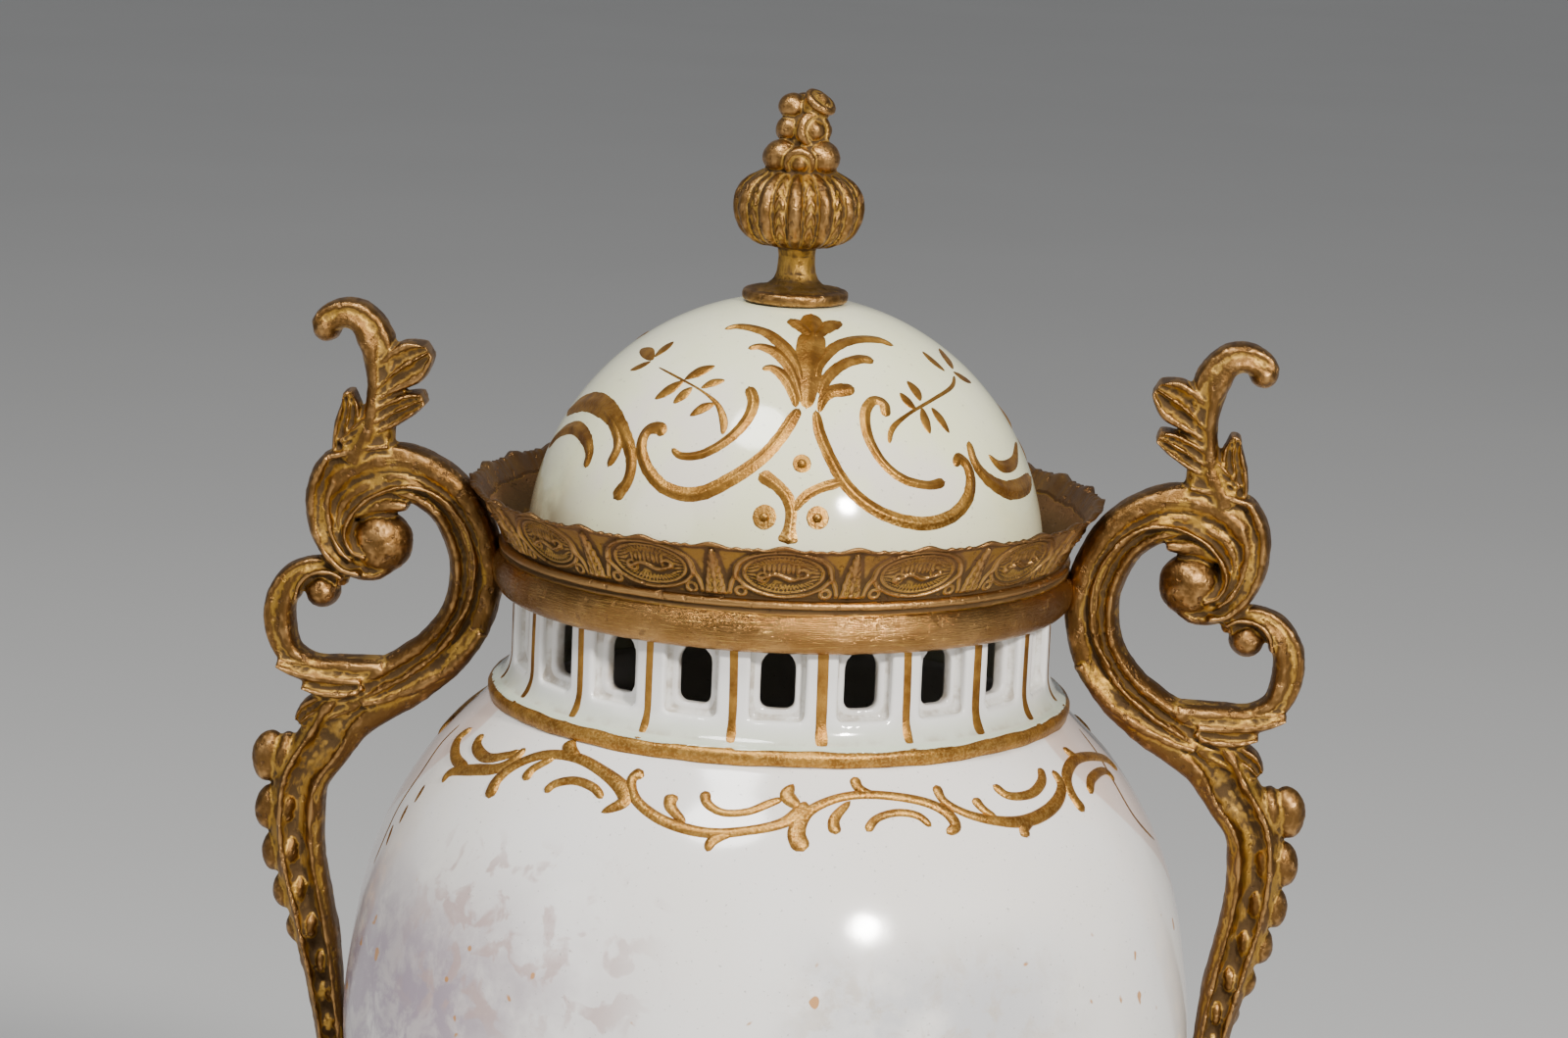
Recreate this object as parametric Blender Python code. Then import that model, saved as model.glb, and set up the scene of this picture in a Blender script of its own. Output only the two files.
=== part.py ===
"""Covered potpourri vase: an ovoid porcelain body with a pierced neck, a domed lid and gilt-bronze mounts.

The vase stands on the origin, +Z up, with its two scroll handles on the X axis and its front facing -Y.
All sizes below are in millimetres, and MM turns them into Blender's metres.
"""

import math

import bmesh
import bpy
from mathutils import Matrix, Vector

MM = 0.001
FIT = 0.3  # gap between two pieces that touch

# Foot, a turned bronze casting
FOOT_HEIGHT = 46.0
FOOT_RADIUS = 56.0
FOOT_PLINTH = 6.0  # height of the upright edge at the floor
FOOT_TORUS = 4.2  # radius of the round moulding above the plinth
FOOT_WAIST_RADIUS = 20.0
FOOT_WAIST_HEIGHT = 29.0
FOOT_KNOP = 2.6  # radius of the bead above the waist
FOOT_WALL = 4.0
FOOT_CUP_LIP = 6.0  # how far the cup's lip climbs the body
FOOT_SIDES = 24

# Body and neck, one piece of porcelain
BODY_HEIGHT = 198.2  # underside to the raised ring
BODY_RADIUS = 88.5
BODY_SEAT_RADIUS = 31.0
BODY_WALL = 4.0
BODY_FLOOR = 5.0
BELLY_HEIGHT = 123.7  # underside to the widest place
RING_RADIUS = 60.3
RING_WIDTH = 3.2
NECK_RADIUS = 55.8
NECK_WALL = 5.0
NECK_HEIGHT = 27.5  # raised ring to the rim
NECK_FILLET = 6.5  # height of the hollow curve above the ring
BODY_SIDES = 40

# Pierced windows in the neck
WINDOWS = 20
WINDOW_PHASE = 3.2  # degrees from the front to the nearest window
WINDOW_WIDTH = 6.8
WINDOW_HEIGHT = 11.7
WINDOW_SILL = 8.5  # raised ring to the window's bottom
PANEL_WIDTH = 10.8  # the sunk panel round each window
PANEL_DEPTH = 2.2
PANEL_MARGIN = 1.9  # how far the panel reaches below and above its window

# Collar, the bronze gallery round the neck
COLLAR_SKIRT = 6.9  # how far it hangs below the neck's rim
COLLAR_BAND = 10.1  # height of the round moulding
COLLAR_BULGE = 3.0
FRIEZE_HEIGHT = 12.7
FRIEZE_FLARE = 7.8
FRIEZE_WALL = 1.3
LEDGE_WALL = 1.5
LEDGE_REACH = 6.6  # the ledge's reach inwards from the neck's outer face
SCALLOPS = 28
SCALLOP_DEPTH = 1.1
SCALLOP_PHASE = 3.5  # degrees from the front to the nearest scallop

# Lid, a porcelain half sphere on a short locating lip
LID_MARGIN = 2.5  # how far the dome's edge stays inside the neck's outer face
LID_RADIUS = NECK_RADIUS - LID_MARGIN
LID_WALL = 4.0
LIP_GAP = 1.1
LIP_WALL = 3.0
LIP_DEPTH = 6.0
PAD_RADIUS = 11.6  # the flat on top of the dome, under the finial's disc
LID_CLEARANCE = 1.0  # from the dome's edge to the frieze's foot
LID_SIDES = 24

# Finial, a bronze bouquet in a ribbed basket
DISC_RADIUS = 11.0
DISC_EDGE = 2.5
STEM_RADIUS = 3.7
STEM_HEIGHT = 8.8  # disc to basket
BASKET_RADIUS = 13.0
BASKET_HEIGHT = 15.2
BASKET_RIBS = 12
RIB_DEPTH = 1.4
BERRY_RADIUS = 3.1
BOUQUET_HEIGHT = 16.9
FINIAL_SIDES = 24

# Handles, bronze scrolls cast in one piece each
HANDLE_DEPTH = 11.0
LEAF_DEPTH = 6.5
FLUTE_DEPTH = 1.5
VOLUTE_RADIUS = 6.3
EYE_RADIUS = 3.1
BOSS_DEPTH = 7.5

# Heights that follow from the sizes above
Z_SEAT = FOOT_HEIGHT + FIT
Z_BELLY = Z_SEAT + BELLY_HEIGHT
Z_RING = Z_SEAT + BODY_HEIGHT
Z_RIM = Z_RING + NECK_HEIGHT
Z_SKIRT = Z_RIM - COLLAR_SKIRT
Z_BAND = Z_SKIRT + COLLAR_BAND
Z_GALLERY = Z_BAND + FRIEZE_HEIGHT
Z_LEDGE = Z_RIM + FIT + LEDGE_WALL
Z_LID = Z_LEDGE + FIT
COLLAR_RADIUS = NECK_RADIUS + FIT + 0.9  # the skirt's lower edge


def clear_scene():
    for old in list(bpy.data.objects):
        bpy.data.objects.remove(old)


def make_material(name, colour, roughness, metallic):
    material = bpy.data.materials.new(name)
    material.use_nodes = True
    shader = material.node_tree.nodes["Principled BSDF"]
    shader.inputs["Base Color"].default_value = (*colour, 1.0)
    shader.inputs["Roughness"].default_value = roughness
    shader.inputs["Metallic"].default_value = metallic
    return material


def add_object(name, bm, material=None):
    """Turns a bmesh given in millimetres into an object in metres."""
    bmesh.ops.scale(bm, vec=(MM, MM, MM), verts=bm.verts)
    bmesh.ops.recalc_face_normals(bm, faces=bm.faces)
    mesh = bpy.data.meshes.new(name)
    bm.to_mesh(mesh)
    bm.free()
    mesh.shade_smooth()
    mesh.set_sharp_from_angle(angle=math.radians(38))
    thing = bpy.data.objects.new(name, mesh)
    bpy.context.scene.collection.objects.link(thing)
    if material:
        mesh.materials.append(material)
    return thing


def make_cutter(thing):
    thing.hide_render = True
    thing.display_type = "WIRE"
    return thing


def combine(thing, other, operation):
    """Adds an exact Boolean of a hidden object."""
    make_cutter(other)
    step = thing.modifiers.new(other.name, "BOOLEAN")
    step.operation = operation
    step.solver = "EXACT"
    step.object = other


def through(points, steps):
    """A smooth curve through the points (Catmull-Rom), with so many steps to a span."""
    pts = [Vector(p) for p in points]
    pts = [2 * pts[0] - pts[1], *pts, 2 * pts[-1] - pts[-2]]
    line = []
    for a, b, c, d in zip(pts, pts[1:], pts[2:], pts[3:]):
        for i in range(steps):
            t = i / steps
            line.append(
                0.5
                * (
                    2 * b
                    + (c - a) * t
                    + (2 * a - 5 * b + 4 * c - d) * t * t
                    + (3 * b - a - 3 * c + d) * t**3
                )
            )
    line.append(pts[-2])
    return line


def arc(centre, radius, start, end, steps):
    """Points of an arc in the (radius, height) plane, angles in degrees from the outward direction."""
    return [
        (
            centre[0] + radius * math.cos(math.radians(start + (end - start) * i / steps)),
            centre[1] + radius * math.sin(math.radians(start + (end - start) * i / steps)),
        )
        for i in range(steps + 1)
    ]


def turned(outline, sides, phase=0.0, closed=False, shape=None):
    """A body turned about Z from (radius, height) points, its first corner phase degrees from the front.

    shape(index, angle, radius, height) may move a point; closed joins the last point to the first.
    """
    bm = bmesh.new()
    rings = []
    for index, (radius, height) in enumerate(outline):
        if radius < 1e-6:
            rings.append([bm.verts.new((0, 0, height))])
            continue
        ring = []
        for side in range(sides):
            angle = math.radians(phase) + 2 * math.pi * side / sides
            r, z = shape(index, angle, radius, height) if shape else (radius, height)
            ring.append(bm.verts.new((r * math.sin(angle), -r * math.cos(angle), z)))
        rings.append(ring)
    pairs = list(zip(rings, rings[1:]))
    if closed:
        pairs.append((rings[-1], rings[0]))
    for low, high in pairs:
        for side in range(sides):
            corners = [
                low[side % len(low)],
                low[(side + 1) % len(low)],
                high[(side + 1) % len(high)],
                high[side % len(high)],
            ]
            corners = list(dict.fromkeys(corners))
            if len(corners) > 2:
                bm.faces.new(corners)
    return bm


def offset(points, distance):
    """The points moved along the line's right-hand normal."""
    pts = [Vector(p) for p in points]
    moved = []
    for i, p in enumerate(pts):
        along = (pts[min(i + 1, len(pts) - 1)] - pts[max(i - 1, 0)]).normalized()
        moved.append((p.x + along.y * distance, p.y - along.x * distance))
    return moved


# Outline of the body

# Each row is (share of the way out, share of the way up) between two ends of the outline
LOWER_BODY = [(0, 0), (0.33, 0.21), (0.66, 0.485), (0.91, 0.77), (1, 1)]
SHOULDER = [(1, 0), (0.935, 0.32), (0.77, 0.58), (0.44, 0.815), (0, 1)]


def body_outline(steps):
    """The outside of the body from its underside's edge up to the ring."""
    lower = [
        (BODY_SEAT_RADIUS + (BODY_RADIUS - BODY_SEAT_RADIUS) * out, Z_SEAT + BELLY_HEIGHT * up)
        for out, up in LOWER_BODY
    ]
    top = Z_RING - RING_WIDTH / 2
    upper = [
        (RING_RADIUS - 0.5 + (BODY_RADIUS - RING_RADIUS + 0.5) * out, Z_BELLY + (top - Z_BELLY) * up)
        for out, up in SHOULDER
    ]
    return [(p.x, p.y) for p in through([*lower, *upper[1:]], steps)]


def body_radius(height):
    """The body's outer radius at a height."""
    outline = body_outline(4)
    for (r0, z0), (r1, z1) in zip(outline, outline[1:]):
        if z0 <= height <= z1:
            return r0 + (r1 - r0) * (height - z0) / (z1 - z0)
    return outline[0][0] if height < outline[0][1] else outline[-1][0]


def neck_outline():
    """The raised ring, the hollow curve above it and the upright neck."""
    low, high = Z_RING - RING_WIDTH / 2, Z_RING + RING_WIDTH / 2
    reach = RING_RADIUS - 0.6 - NECK_RADIUS
    fillet = [
        (NECK_RADIUS + reach * (1 - math.sin(a)), high + NECK_FILLET * (1 - math.cos(a)))
        for a in (math.radians(d) for d in (20, 90))
    ]
    return [(RING_RADIUS, low + 0.5), (RING_RADIUS, high - 0.5), *fillet, (NECK_RADIUS, Z_RIM)]


def body_section():
    outer = body_outline(1)
    inner = offset(outer[1:], -BODY_WALL)
    inner = [(r, z) for r, z in inner if z > Z_SEAT + BODY_FLOOR + 2]
    inner_neck = NECK_RADIUS - NECK_WALL
    return [
        (0, Z_SEAT),
        *outer,
        *neck_outline(),
        (inner_neck, Z_RIM),
        (inner_neck, Z_RING),
        *reversed(inner[:-1]),
        (BODY_SEAT_RADIUS - BODY_WALL, Z_SEAT + BODY_FLOOR),
        (0, Z_SEAT + BODY_FLOOR),
    ]


def window_outline(width, bottom, top):
    """An upright opening with rounded corners, as (across, height)."""
    half = width / 2
    corner = half * 0.6
    inset = half - corner
    return [
        (half, top - corner),
        (inset, top),
        (-inset, top),
        (-half, top - corner),
        (-half, bottom + corner),
        (-inset, bottom),
        (inset, bottom),
        (half, bottom + corner),
    ]


def panel_outline(width, bottom, top):
    half = width / 2
    return [(half, top), (-half, top), (-half, bottom), (half, bottom)]


def radial_cutters(name, outline, near, far):
    """One prism for each window, from one radius out to another."""
    bm = bmesh.new()
    for i in range(WINDOWS):
        turn = Matrix.Rotation(math.radians(WINDOW_PHASE + i * 360 / WINDOWS), 4, "Z")
        inner = [bm.verts.new(turn @ Vector((x, -near, z))) for x, z in outline]
        outer = [bm.verts.new(turn @ Vector((x, -far, z))) for x, z in outline]
        bm.faces.new(inner)
        bm.faces.new(outer)
        for k in range(len(outline)):
            n = (k + 1) % len(outline)
            bm.faces.new([inner[k], inner[n], outer[n], outer[k]])
    return add_object(name, bm)


def make_body(porcelain):
    phase = WINDOW_PHASE + 180 / BODY_SIDES
    body = add_object("vase_body", turned(body_section(), BODY_SIDES, phase), porcelain)
    sill = Z_RING + WINDOW_SILL
    window = window_outline(WINDOW_WIDTH, sill, sill + WINDOW_HEIGHT)
    panel = panel_outline(PANEL_WIDTH, sill - PANEL_MARGIN, sill + WINDOW_HEIGHT + PANEL_MARGIN)
    inner = NECK_RADIUS - NECK_WALL
    outside = NECK_RADIUS + 4
    combine(
        body,
        radial_cutters("panel_cutters", panel, NECK_RADIUS - PANEL_DEPTH, outside),
        "DIFFERENCE",
    )
    combine(body, radial_cutters("window_cutters", window, inner - 3, outside), "DIFFERENCE")
    return body


# Collar


def collar_outside(grow=0.0):
    """The collar's outer line from its lower edge to the gallery's tip."""
    half = COLLAR_BAND / 2
    band = [
        (
            COLLAR_RADIUS + grow + COLLAR_BULGE * math.sin(math.radians(a)) ** 0.8,
            Z_SKIRT + half - half * math.cos(math.radians(a)),
        )
        for a in (0, 55, 115)
    ]
    root = COLLAR_RADIUS + 0.6 + grow
    frieze = [
        (root + FRIEZE_FLARE * up**1.25, Z_BAND + FRIEZE_HEIGHT * up) for up in (0.0, 1.0)
    ]
    return [*band, *frieze]


def collar_section():
    outside = collar_outside()
    tip = outside[-1]
    bore = NECK_RADIUS + FIT
    ledge_edge = NECK_RADIUS - LEDGE_REACH
    return [
        *outside,
        (tip[0] - FRIEZE_WALL, tip[1]),
        (LID_RADIUS + LID_CLEARANCE, Z_LEDGE),
        (ledge_edge, Z_LEDGE),
        (ledge_edge, Z_LEDGE - LEDGE_WALL),
        (bore, Z_LEDGE - LEDGE_WALL),
        (bore, Z_SKIRT),
    ]


def make_collar(bronze):
    outside = len(collar_outside())
    rim = (outside - 1, outside)
    pitch = 2 * math.pi / SCALLOPS

    def scallop(index, angle, radius, height):
        if index not in rim:
            return radius, height
        turn = (angle - math.radians(SCALLOP_PHASE)) % pitch
        low = abs(turn - pitch / 2) < pitch / 4
        return radius, height - (SCALLOP_DEPTH if low else 0.0)

    bm = turned(collar_section(), 2 * SCALLOPS, SCALLOP_PHASE, closed=True, shape=scallop)
    return add_object("rim_collar", bm, bronze)


# Lid


def lid_section():
    lip_outer = NECK_RADIUS - LEDGE_REACH - LIP_GAP
    inner_radius = LID_RADIUS - LID_WALL
    lip_inner = lip_outer - LIP_WALL
    start = math.degrees(math.acos(lip_inner / inner_radius))
    dome = arc((0, Z_LID), LID_RADIUS, math.degrees(math.acos(PAD_RADIUS / LID_RADIUS)), 0, 5)
    hollow = arc((0, Z_LID), inner_radius, start, 90, 4)
    return [
        (0, dome[0][1]),
        *dome,
        (lip_outer, Z_LID),
        (lip_outer, Z_LID - LIP_DEPTH),
        (lip_inner, Z_LID - LIP_DEPTH),
        *hollow[:-1],
        (0, hollow[-1][1]),
    ]


def make_lid(porcelain):
    return add_object("lid_dome", turned(lid_section(), LID_SIDES), porcelain)


# Finial


def finial_outline():
    """From the middle of the underside, up the stem to the basket's top."""
    seat = Z_LID + math.sqrt(LID_RADIUS**2 - PAD_RADIUS**2) + FIT
    under = [(0, seat), (DISC_RADIUS, seat)]
    top = seat + DISC_EDGE
    base = top + STEM_HEIGHT
    stem = [
        (DISC_RADIUS, top),
        (STEM_RADIUS * 1.4, top + STEM_HEIGHT * 0.2),
        (STEM_RADIUS, base),
    ]
    basket = [
        (BASKET_RADIUS * out, base + BASKET_HEIGHT * up)
        for out, up in ((0.7, 0.07), (0.96, 0.33), (1.0, 0.6), (0.64, 1.0))
    ]
    return under, stem, basket


def bouquet(base):
    """Centres and radii of the flower heads above the basket, in rising rings."""
    heads = []
    for count, reach, up, size in ((4, 0.36, 0.14, 1.35), (3, 0.23, 0.5, 1.25), (2, 0.16, 0.82, 1.0)):
        for i in range(count):
            angle = 2 * math.pi * (i + up) / count
            r = BASKET_RADIUS * reach
            centre = (r * math.sin(angle), -r * math.cos(angle), base + BOUQUET_HEIGHT * up)
            heads.append((centre, BERRY_RADIUS * size))
    return heads


def make_finial(bronze):
    under, stem, basket = finial_outline()
    first_rib = len(under) + len(stem)
    base = basket[-1][1]

    def ribs(index, angle, radius, height):
        if index < first_rib or radius < BASKET_RADIUS * 0.6:
            return radius, height
        wave = math.cos(angle * BASKET_RIBS)
        return radius - RIB_DEPTH * (0.5 - 0.5 * wave), height

    outline = [*under, *stem, *basket, (0, base + BOUQUET_HEIGHT * 0.8)]
    finial = add_object("finial", turned(outline, FINIAL_SIDES, 0, shape=ribs), bronze)
    for i, (centre, radius) in enumerate(bouquet(base)):
        bm = bmesh.new()
        bmesh.ops.create_icosphere(
            bm, subdivisions=1, radius=radius, matrix=Matrix.Translation(centre)
        )
        combine(finial, add_object(f"flower_head_{i:02d}", bm), "UNION")
    return finial


# Foot


def foot_section():
    r = FOOT_RADIUS
    step = FOOT_PLINTH + 2 * FOOT_TORUS
    waist_top = FOOT_WAIST_HEIGHT + 4
    top = Z_SEAT + FOOT_CUP_LIP
    lip = (body_radius(top) + FIT, top)
    return [
        (0, FOOT_HEIGHT),
        (BODY_SEAT_RADIUS + FIT, FOOT_HEIGHT),
        lip,
        (lip[0] + 2.2, lip[1] - 0.4),
        (FOOT_WAIST_RADIUS + FOOT_KNOP, waist_top + 2 * FOOT_KNOP),
        (FOOT_WAIST_RADIUS + 2 * FOOT_KNOP, waist_top + FOOT_KNOP),
        (FOOT_WAIST_RADIUS, waist_top),
        (FOOT_WAIST_RADIUS + 1.5, FOOT_WAIST_HEIGHT - 3),
        (r * 0.62, step + (FOOT_WAIST_HEIGHT - step) * 0.15),
        *arc((r - FOOT_TORUS - 1.5, FOOT_PLINTH + FOOT_TORUS), FOOT_TORUS, 80, -60, 2),
        (r, FOOT_PLINTH),
        (r, 0),
        (r - FOOT_WALL * 1.5, 0),
        (FOOT_WAIST_RADIUS - FOOT_WALL + 4, step + 2),
        (FOOT_WAIST_RADIUS - FOOT_WALL, FOOT_WAIST_HEIGHT),
        (0, FOOT_HEIGHT - FOOT_WALL),
    ]


def make_foot(bronze):
    return add_object("foot_mount", turned(foot_section(), FOOT_SIDES), bronze)


# Handles, drawn in the plane of X and Z: each row is (out from the collar, up from its lower edge, width)

SCROLL = [
    (32.6, 0.2, 5.0),
    (38.4, 6.6, 8.3),
    (37.6, 15.2, 10.2),
    (31.0, 21.0, 11.5),
    (21.0, 21.2, 11.8),
    (12.0, 15.6, 11.4),
    (7.4, 5.0, 11.0),
    (8.0, -6.5, 11.0),
    (13.2, -15.4, 11.6),
    (20.4, -21.6, 12.4),
]
# The lower strap: (stand-off of its middle from the body, share of the way from belly to skirt, width)
STRAP = [
    (22.2, 0.694, 14.0),
    (21.3, 0.62, 13.5),
    (20.3, 0.536, 12.2),
    (17.6, 0.452, 9.9),
    (14.4, 0.357, 9.4),
    (11.0, 0.263, 9.8),
    (8.1, 0.179, 9.3),
    (5.7, 0.095, 8.0),
    (4.2, 0.0, 6.8),
    (3.6, -0.14, 6.2),
    (3.6, -0.29, 5.8),
    (5.6, -0.37, 5.0),
    (9.4, -0.39, 4.2),
]
LOBE = [
    (38.6, -8.0, 2.6),
    (41.4, -1.8, 4.4),
    (46.6, -2.4, 6.2),
    (48.2, -9.6, 7.0),
    (45.4, -17.6, 7.2),
    (37.0, -22.0, 8.2),
    (23.0, -21.0, 9.0),
]
CURL = [
    (31.0, 23.6, 13.0),
    (27.4, 34.0, 8.2),
    (27.2, 43.6, 7.8),
    (30.6, 51.2, 6.4),
    (35.6, 53.9, 5.4),
    (39.8, 51.4, 4.6),
    (38.6, 48.2, 3.6),
]
VOLUTE_CENTRE = (28.0, 6.3)
EYE_CENTRE = (40.6, -5.2)
# Leaves: (root out, root up, tip out, tip up, width)
LEAVES = [
    (28.5, 36.0, 17.4, 46.8, 8.6),
    (29.0, 29.0, 17.6, 36.6, 7.4),
    (40.0, -20.4, 49.0, -20.0, 6.0),
    (36.0, -24.0, 44.0, -33.0, 6.4),
]
# Bosses on the strap's outer edge: (stand-off from the body, share of the way up, radius)
BOSSES = [
    (31.4, 0.575, 3.2),
    (24.5, 0.45, 2.7),
    (20.9, 0.355, 2.5),
    (17.4, 0.27, 2.2),
    (13.9, 0.193, 1.9),
    (10.7, 0.119, 1.7),
    (8.4, 0.047, 1.5),
]
# The face of a strap between its two edges: (share of the half width, is it in the flute)
FLUTED = [(0.72, 0), (0.0, 1), (-0.72, 0)]
RIDGED = [(0.5, 0), (-0.5, 0)]


def place(out, up):
    """A place on the handle's upper half, which is carried by the collar."""
    return Vector((COLLAR_RADIUS + out, Z_SKIRT + up))


def place_low(stand_off, share):
    """A place on the lower half, which follows the body."""
    height = Z_BELLY + (Z_SKIRT - Z_BELLY) * share
    return Vector((body_radius(height) + stand_off, height))


def strap(name, line, depth, section):
    """A strap swept along a line of (out, up, width) points, the same on both faces."""
    bm = bmesh.new()
    loops = []
    for i, point in enumerate(line):
        ahead, behind = line[min(i + 1, len(line) - 1)], line[max(i - 1, 0)]
        along = Vector((ahead.x - behind.x, ahead.y - behind.y)).normalized()
        across = Vector((along.y, -along.x))
        half = point.z / 2
        deep = depth / 2 * min(1.0, 0.55 + point.z / 20)
        face = [(u, deep - FLUTE_DEPTH * sunk) for u, sunk in section]
        back = [(u, -y) for u, y in reversed(face)]
        loop = []
        for u, y in [(1.0, 0.0), *face, (-1.0, 0.0), *back]:
            edge = across * half * u
            loop.append(bm.verts.new((point.x + edge.x, -y, point.y + edge.y)))
        loops.append(loop)
    for low, high in zip(loops, loops[1:]):
        for k in range(len(low)):
            n = (k + 1) % len(low)
            bm.faces.new([low[k], low[n], high[n], high[k]])
    bm.faces.new(loops[0])
    bm.faces.new(loops[-1])
    return add_object(name, bm)


def drum(name, centre, radius, depth):
    """A scroll's round end: a short drum with a domed face each side."""
    outline = [(0, depth / 2), (radius, depth * 0.33)]
    outline += [(r, -y) for r, y in reversed(outline)]
    bm = turned(outline, 10)
    bmesh.ops.rotate(bm, verts=bm.verts, matrix=Matrix.Rotation(math.pi / 2, 3, "X"))
    bmesh.ops.translate(bm, verts=bm.verts, vec=(centre.x, 0, centre.y))
    return add_object(name, bm)


def leaf(name, root, tip, width, depth):
    """A thick leaf with a raised middle, from a blunt root to its tip."""
    along = tip - root
    across = Vector((along.y, -along.x)).normalized()
    bm = bmesh.new()
    edge = []
    for t, w in ((0, 0.8), (0.55, 1.0), (1.0, 0.3)):
        edge.append((root + along * t, width / 2 * w))
    loops = []
    for middle, half in edge:
        side = across * half
        loops.append(
            [
                bm.verts.new((middle.x + side.x, -depth * 0.2, middle.y + side.y)),
                bm.verts.new((middle.x, -depth * 0.5, middle.y)),
                bm.verts.new((middle.x - side.x, -depth * 0.2, middle.y - side.y)),
                bm.verts.new((middle.x - side.x, depth * 0.2, middle.y - side.y)),
                bm.verts.new((middle.x, depth * 0.5, middle.y)),
                bm.verts.new((middle.x + side.x, depth * 0.2, middle.y + side.y)),
            ]
        )
    for low, high in zip(loops, loops[1:]):
        for k in range(6):
            n = (k + 1) % 6
            bm.faces.new([low[k], low[n], high[n], high[k]])
    bm.faces.new(loops[0])
    bm.faces.new(loops[-1])
    return add_object(name, bm)


def boss(name, centre, radius, depth):
    """A rounded lobe that stands on the strap's outer edge."""
    bm = bmesh.new()
    bmesh.ops.create_icosphere(bm, subdivisions=1, radius=1.0)
    bmesh.ops.scale(bm, vec=(radius * 1.45, depth / 2, radius * 1.6), verts=bm.verts)
    bmesh.ops.translate(bm, verts=bm.verts, vec=(centre.x, 0, centre.y))
    return add_object(name, bm)


def vase_envelope():
    """A solid that stands FIT clear of the body and the collar, to trim the handles by."""
    body = offset(body_outline(1), FIT)
    top = Z_GALLERY + 2
    collar = collar_outside(FIT)
    lowest = (collar[0][0], collar[0][1] - FIT)
    tip = (collar[-1][0] + 1.0, top)
    neck = (NECK_RADIUS + FIT, Z_RING + NECK_FILLET)
    return [(0, Z_SEAT), *body, neck, (neck[0], lowest[1]), lowest, *collar[1:], tip, (0, top)]


def make_handle(name, bronze):
    """The handle at +X; the other one is its mirror image."""
    upper = [(*place(out, up), width) for out, up, width in SCROLL]
    lower = [Vector((*place_low(off, share), width)) for off, share, width in STRAP]
    handle = strap(name, [*through([*upper, lower[0]], 2), *lower[1:]], HANDLE_DEPTH, FLUTED)
    handle.data.materials.append(bronze)
    lobe = through([(*place(out, up), width) for out, up, width in LOBE], 2)
    curl = through([(*place(out, up), width) for out, up, width in CURL], 2)
    parts = [
        strap("lobe", lobe, HANDLE_DEPTH * 0.85, RIDGED),
        strap("curl", curl, LEAF_DEPTH * 1.2, RIDGED),
        drum("volute", place(*VOLUTE_CENTRE), VOLUTE_RADIUS, HANDLE_DEPTH * 1.1),
        drum("eye", place(*EYE_CENTRE), EYE_RADIUS, HANDLE_DEPTH * 0.9),
    ]
    for i, (out, up, tip_out, tip_up, width) in enumerate(LEAVES):
        parts.append(leaf(f"leaf_{i}", place(out, up), place(tip_out, tip_up), width, LEAF_DEPTH))
    for i, (off, share, radius) in enumerate(BOSSES):
        parts.append(boss(f"boss_{i}", place_low(off, share), radius, BOSS_DEPTH))
    for part in parts:
        part.name = f"{name}_{part.name}"
        combine(handle, part, "UNION")
    envelope = turned(vase_envelope(), BODY_SIDES, WINDOW_PHASE + 180 / BODY_SIDES)
    combine(handle, add_object(f"{name}_clearance", envelope), "DIFFERENCE")
    return handle


def make_mirrored(handle, name):
    """A copy of the finished handle mirrored to -X."""
    depsgraph = bpy.context.evaluated_depsgraph_get()
    mesh = bpy.data.meshes.new_from_object(handle.evaluated_get(depsgraph))
    mesh.transform(Matrix.Scale(-1, 4, (1, 0, 0)))
    mesh.flip_normals()
    twin = bpy.data.objects.new(name, mesh)
    bpy.context.scene.collection.objects.link(twin)
    return twin


def main():
    clear_scene()
    porcelain = make_material("porcelain", (0.86, 0.86, 0.82), 0.12, 0.0)
    celadon = make_material("celadon porcelain", (0.80, 0.81, 0.70), 0.12, 0.0)
    bronze = make_material("gilt bronze", (0.62, 0.40, 0.14), 0.35, 1.0)
    make_foot(bronze)
    make_body(porcelain)
    make_collar(bronze)
    make_lid(celadon)
    make_finial(bronze)
    right = make_handle("handle_right", bronze)
    bpy.context.view_layer.update()
    make_mirrored(right, "handle_left")


main()
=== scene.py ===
# %% [markdown]
# # A covered porcelain vase with gilt-bronze mounts
#
# The vase is white porcelain with a pierced neck and an ivory lid. Bronze castings hold it: a foot, a
# collar with a scalloped edge, two scroll handles and a finial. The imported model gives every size, and
# this lesson dresses it: finer relief, raised gilding, a worn painting, glaze and old gilding.

import math

import bmesh
import bpy
import numpy as np
from mathutils import Matrix, Vector, noise
from mathutils.bvhtree import BVHTree


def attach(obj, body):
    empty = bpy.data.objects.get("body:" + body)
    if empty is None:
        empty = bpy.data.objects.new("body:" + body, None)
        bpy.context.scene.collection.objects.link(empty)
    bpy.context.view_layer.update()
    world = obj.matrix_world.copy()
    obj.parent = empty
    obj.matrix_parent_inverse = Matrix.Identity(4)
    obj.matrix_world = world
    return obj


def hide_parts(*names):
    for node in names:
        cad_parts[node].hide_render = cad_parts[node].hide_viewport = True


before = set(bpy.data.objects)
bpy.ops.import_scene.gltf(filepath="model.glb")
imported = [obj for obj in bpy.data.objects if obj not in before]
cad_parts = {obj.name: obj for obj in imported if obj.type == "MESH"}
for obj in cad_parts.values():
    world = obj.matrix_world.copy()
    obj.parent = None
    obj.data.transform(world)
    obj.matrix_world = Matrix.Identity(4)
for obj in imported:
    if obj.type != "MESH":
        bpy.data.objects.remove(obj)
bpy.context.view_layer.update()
MM = 0.001
print("solids:", sorted(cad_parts))

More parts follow.
